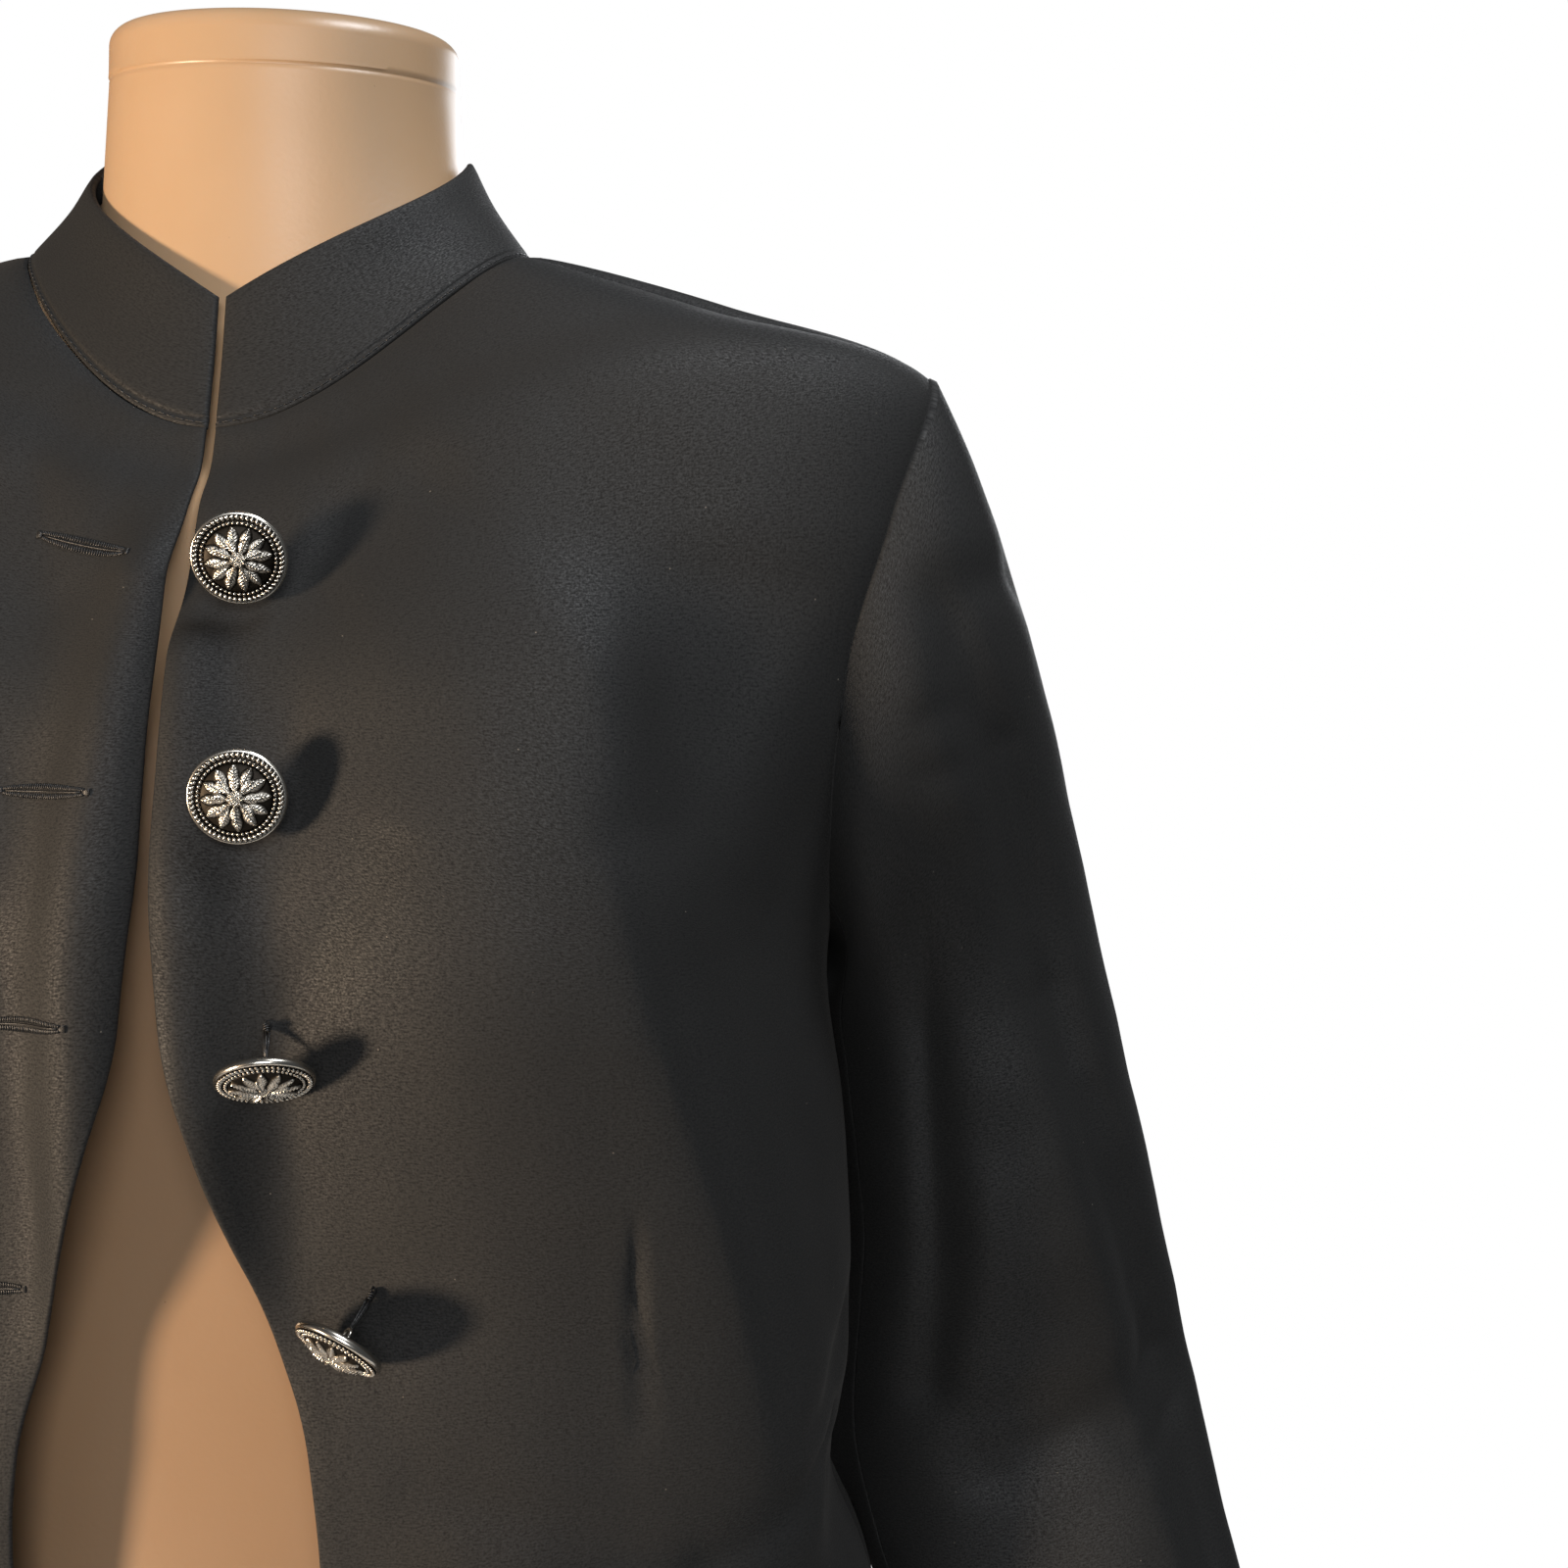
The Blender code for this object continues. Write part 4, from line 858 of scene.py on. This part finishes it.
def button_metal():
    """The button about its own axis: face up, back at height 0, with its wire shank below."""
    turn = spread(0, 2 * math.pi, DISC_AROUND)[:-1]
    radius = spread(DOME_RADIUS, 0.02 * MM, DOME_CUTS)[:, None] + 0 * turn
    dome = DOME_FOOT + DOME_RISE * np.sqrt(np.clip(1 - (radius / (DOME_RADIUS * 1.04)) ** 2, 0, 1))
    height, share = rosette(radius, turn + 0 * radius)
    face = np.stack((radius * np.cos(turn), radius * np.sin(turn), dome - FACE_DROP + height), axis=-1)
    out, up, bright = np.array((DISC_OUT, DISC_UP, DISC_BRIGHT))[..., None]
    back = np.stack((out * MM * np.cos(turn), out * MM * np.sin(turn), up * MM + 0 * turn), axis=-1)
    lathe = np.concatenate((back, face))
    disc = lathe.reshape(-1, 3), quads(len(lathe), len(turn), closed=True)
    rope = beads(54, 10.15 * MM, 2.75 * MM, 0.52 * MM, long=1.6, lean=0.55)
    beading = beads(50, 8.75 * MM, 2.85 * MM, 0.50 * MM, long=1.0, lean=0.0)
    bend = spread(0, math.pi, SHANK_CUTS)
    loop = np.stack((SHANK_BEND * np.cos(bend), 0 * bend, -SHANK_DOWN - SHANK_BEND * np.sin(bend)), axis=-1)
    loop = np.concatenate(([(SHANK_BEND, 0, SHANK_TOP)], loop, [(-SHANK_BEND, 0, SHANK_TOP)]))
    wire = tube(loop, WIRE_RADIUS)
    shares = bright + 0 * turn, share, rope[2], beading[2], np.full(len(wire[0]), WIRE_BRIGHT)
    return *joined((disc, rope[:2], beading[:2], wire)), np.concatenate([part.ravel() for part in shares])


# The thread: four strands from the cloth through the shank, wound round three times near the cloth.
STRANDS, STRAND_TURN, STRAND_SPREAD, STRAND_RADIUS, STRAND_SAG = 4, 1.6, 0.45 * MM, 0.26 * MM, 0.25 * MM
SEWN_DEEP, HOOK_DOWN = 0.3 * MM, 3.3 * MM
COIL_TURNS, COIL_CUTS, COIL_FROM, COIL_HEIGHT = 3, 60, 0.2 * MM, 1.8 * MM
COIL_OUT, COIL_RADIUS, THREAD_SIDES = 0.62 * MM, 0.24 * MM, 6

metal_points, metal_faces, metal_shares = button_metal()
for number, (level, inset, facing, thread, spin) in enumerate(BUTTONS, 1):
    place = place_at_height(level, BUTTON_ANGLE)
    angle = angle_at_x(cloth_row(place), float(edge_out(level)) + inset)
    sewn = body_point(place, angle)
    along = body_point(place, angle + BUTTON_STEP) - sewn
    up = body_point(place + BUTTON_STEP, angle) - sewn
    out = Vector(np.cross(along, up)).normalized()
    way = Vector(facing).normalized()
    foot_reach = THREAD_RADIUS * math.sqrt(1 - out.dot(way) ** 2)
    foot = Vector(sewn) + out * (BUTTON_GAP + foot_reach)
    faced = way.to_track_quat("Z", "Y").to_matrix()
    spin = np.array(faced @ Matrix.Rotation(math.radians(spin), 3, "Z"))
    centre = np.array(foot + way * thread)
    made = piece(
        f"shank_button_{number}",
        metal_points @ spin.T + centre,
        metal_faces,
        nickel,
        "button_metal",
        f"button_{number}",
    )
    values = made.data.attributes.new("relief", "FLOAT", "POINT")
    values.data.foreach_set("value", metal_shares.astype(np.float32))
    hook = spin @ np.array((0, 0, -HOOK_DOWN)) + centre
    strands = []
    for k in range(STRANDS):
        apart = spin @ (np.array((math.cos(k * STRAND_TURN), math.sin(k * STRAND_TURN), 0)) * STRAND_SPREAD)
        start = np.array(Vector(sewn) - out * SEWN_DEEP) + apart * 1.6
        middle = (start + hook) / 2 + apart * 0.3 - (0, 0, STRAND_SAG)
        strands.append(tube((start, middle, hook + apart * 0.35), STRAND_RADIUS, THREAD_SIDES))
    coil = spread(0, 2 * math.pi * COIL_TURNS, COIL_CUTS)[:, None]
    base = np.array(foot)
    axis = (hook - base) / np.linalg.norm(hook - base)
    beside = np.cross(axis, (1.0, 0.0, 0.2))
    beside /= np.linalg.norm(beside)
    above = np.cross(axis, beside)
    wound = base + axis * (coil / coil[-1] * COIL_HEIGHT + COIL_FROM)
    wound = wound + (beside * np.cos(coil) + above * np.sin(coil)) * COIL_OUT
    strands.append(tube(wound, COIL_RADIUS, THREAD_SIDES))
    piece(f"button_thread_{number}", *joined(strands), thread_material, "suiting", None)

# The sewing: one row of machine stitches in black thread holds the collar's lower edge, 2.2 mm above its
# seam. Each stitch is a short thread that dips into the cloth at both ends.
STITCH_LENGTH, STITCH_GAP, STITCH_RADIUS, STITCH_ABOVE_SEAM = 2.3 * MM, 0.5 * MM, 0.17 * MM, 2.2 * MM
STITCH_PLACES, STITCH_LIFTS = np.array(((0, 0.14, 0.5, 0.86, 1), (-0.6, 0.35, 0.6, 0.35, -0.6)))
height = np.linalg.norm(np.diff(collar_face, axis=0), axis=2).mean(1).cumsum()
seam_row = int(np.searchsorted(height, STITCH_ABOVE_SEAM))
line, normals = collar_face[seam_row], collar_normal[seam_row]
gone = np.concatenate(([0], np.cumsum(np.linalg.norm(np.diff(line, axis=0), axis=1))))
parts = []
for first in np.arange(0, gone[-1] - STITCH_LENGTH, STITCH_LENGTH + STITCH_GAP):
    at = first + STITCH_PLACES * STITCH_LENGTH
    path, normal = (
        np.stack([np.interp(at, gone, values) for values in points.T], axis=-1) for points in (line, normals)
    )
    parts.append(tube(path + normal * (STITCH_LIFTS * STITCH_RADIUS)[:, None], STITCH_RADIUS, THREAD_SIDES))
piece("collar_stitching", *joined(parts), thread_material, "suiting", None)

# The right front's five buttonholes, level with the buttons: 25 mm long, worked all round in black thread
# over a slit that starts 11 mm in from the edge.
HOLE_START, HOLE_LENGTH, HOLE_STITCH, HOLE_STITCHES = 11 * MM, 25 * MM, 1.5 * MM, 116
SLIT_HALF, SLIT_EDGE, SLIT_RADIUS, SLIT_CUTS, PURL_RADIUS = 0.35 * MM, 0.25 * MM, 0.3 * MM, 12, 0.16 * MM
for number, (level, *_) in enumerate(BUTTONS, 1):
    centre = place_at_height(level, BUTTON_ANGLE)
    edge = float(edge_out(level))
    turn = spread(0, 2 * math.pi, HOLE_STITCHES)[:-1]
    far = np.clip(np.cos(turn) * 1.12, -1, 1) / 2 + 0.5
    x = edge + HOLE_START + far * HOLE_LENGTH
    bars = []
    for reach_out in (SLIT_EDGE, HOLE_STITCH):
        z = level + np.sin(turn) * (SLIT_HALF + reach_out)
        out_x = x + np.where(np.abs(np.cos(turn)) > 0.9, np.cos(turn) * reach_out, 0)
        place = place_at_height(z, BUTTON_ANGLE)
        bars.append(body_point(place, -angle_at_x(cloth_row(place), out_x)))
    out = np.array((0.0, -MM, 0.0))
    parts = []
    for inner, outer in zip(*bars):
        path = inner - 0.1 * out, inner + 0.32 * out, outer + 0.22 * out, outer - 0.2 * out
        parts.append(tube(path, PURL_RADIUS, 5))
    slit_x = edge + HOLE_START + spread(0.02, 0.98, SLIT_CUTS) * HOLE_LENGTH
    centre = centre + 0 * slit_x
    slit = body_point(centre, -angle_at_x(cloth_row(centre), slit_x))
    parts.append(tube(slit + 0.05 * out, SLIT_RADIUS, THREAD_SIDES))
    piece(f"buttonhole_{number}", *joined(parts), thread_material, "suiting", None)

# The light: a warm round lamp low on the wearer's right, and three cool, soft ones: high on the left, in
# front and behind. The studio round them is white and dim, and the camera sees it as plain white.
SUN_WARM, SKY_COOL, STUDIO_PALE, STUDIO_DIM = "#FFE3C4", "#EEF0F4", "#E8EEF5", 0.09
world = bpy.data.worlds.new("studio")
world.use_nodes = True
scene.world = world
tree = world.node_tree
around = tree.nodes["Background"]
feed(around, {"Color": linear(STUDIO_PALE), "Strength": STUDIO_DIM})
white = add(tree, "Background", {"Color": (1, 1, 1, 1), "Strength": 1.0}).outputs[0]
seen = add(tree, "LightPath").outputs["Is Camera Ray"]
both = add(tree, "MixShader", {0: seen, 1: around.outputs[0], 2: white}).outputs[0]
feed(tree.nodes["World Output"], {"Surface": both})
scene.view_settings.view_transform = "Standard"

# Each lamp's name, place, aim, size across, power in watts and colour.
LIGHTS = (
    ("key", (-1.26, -1.10, 0.22), (0.05, -0.05, 0.50), 0.30, 54.0, SUN_WARM),
    ("fill", (1.00, -0.45, 2.55), (0.10, 0.0, 0.62), 0.8, 44.0, SKY_COOL),
    ("front", (0.42, -1.65, 0.95), (0.12, 0.0, 0.55), 0.9, 22.0, SKY_COOL),
    ("back", (0.5, 1.6, 1.1), (0.0, 0.0, 0.45), 1.2, 20.0, SKY_COOL),
)
for name, place, aim, size, power, colour in LIGHTS:
    lamp = bpy.data.lights.new(name, "AREA")
    lamp.shape, lamp.size, lamp.energy = "DISK", size, power
    lamp.color = linear(colour)[:3]
    thing = bpy.data.objects.new(name, lamp)
    thing.location = place
    thing.rotation_euler = (Vector(aim) - Vector(place)).to_track_quat("-Z", "Y").to_euler()
    scene.collection.objects.link(thing)

# The floor: a pale painted board under the form, half a millimetre below its base.
BOARD_PALE, BOARD_RADIUS, BOARD_SIDES, BOARD_BELOW = "#E6E4E0", 0.5, 96, 0.5 * MM
floor_material, tree, shader = new_material("pale painted board")
feed(shader, {"Base Color": linear(BOARD_PALE), "Roughness": 0.7})
bpy.ops.mesh.primitive_circle_add(
    vertices=BOARD_SIDES, radius=BOARD_RADIUS, fill_type="NGON", location=(0, 0, -BOARD_BELOW)
)
floor = bpy.context.object
floor.name = "floor"
floor.data.materials.append(floor_material)
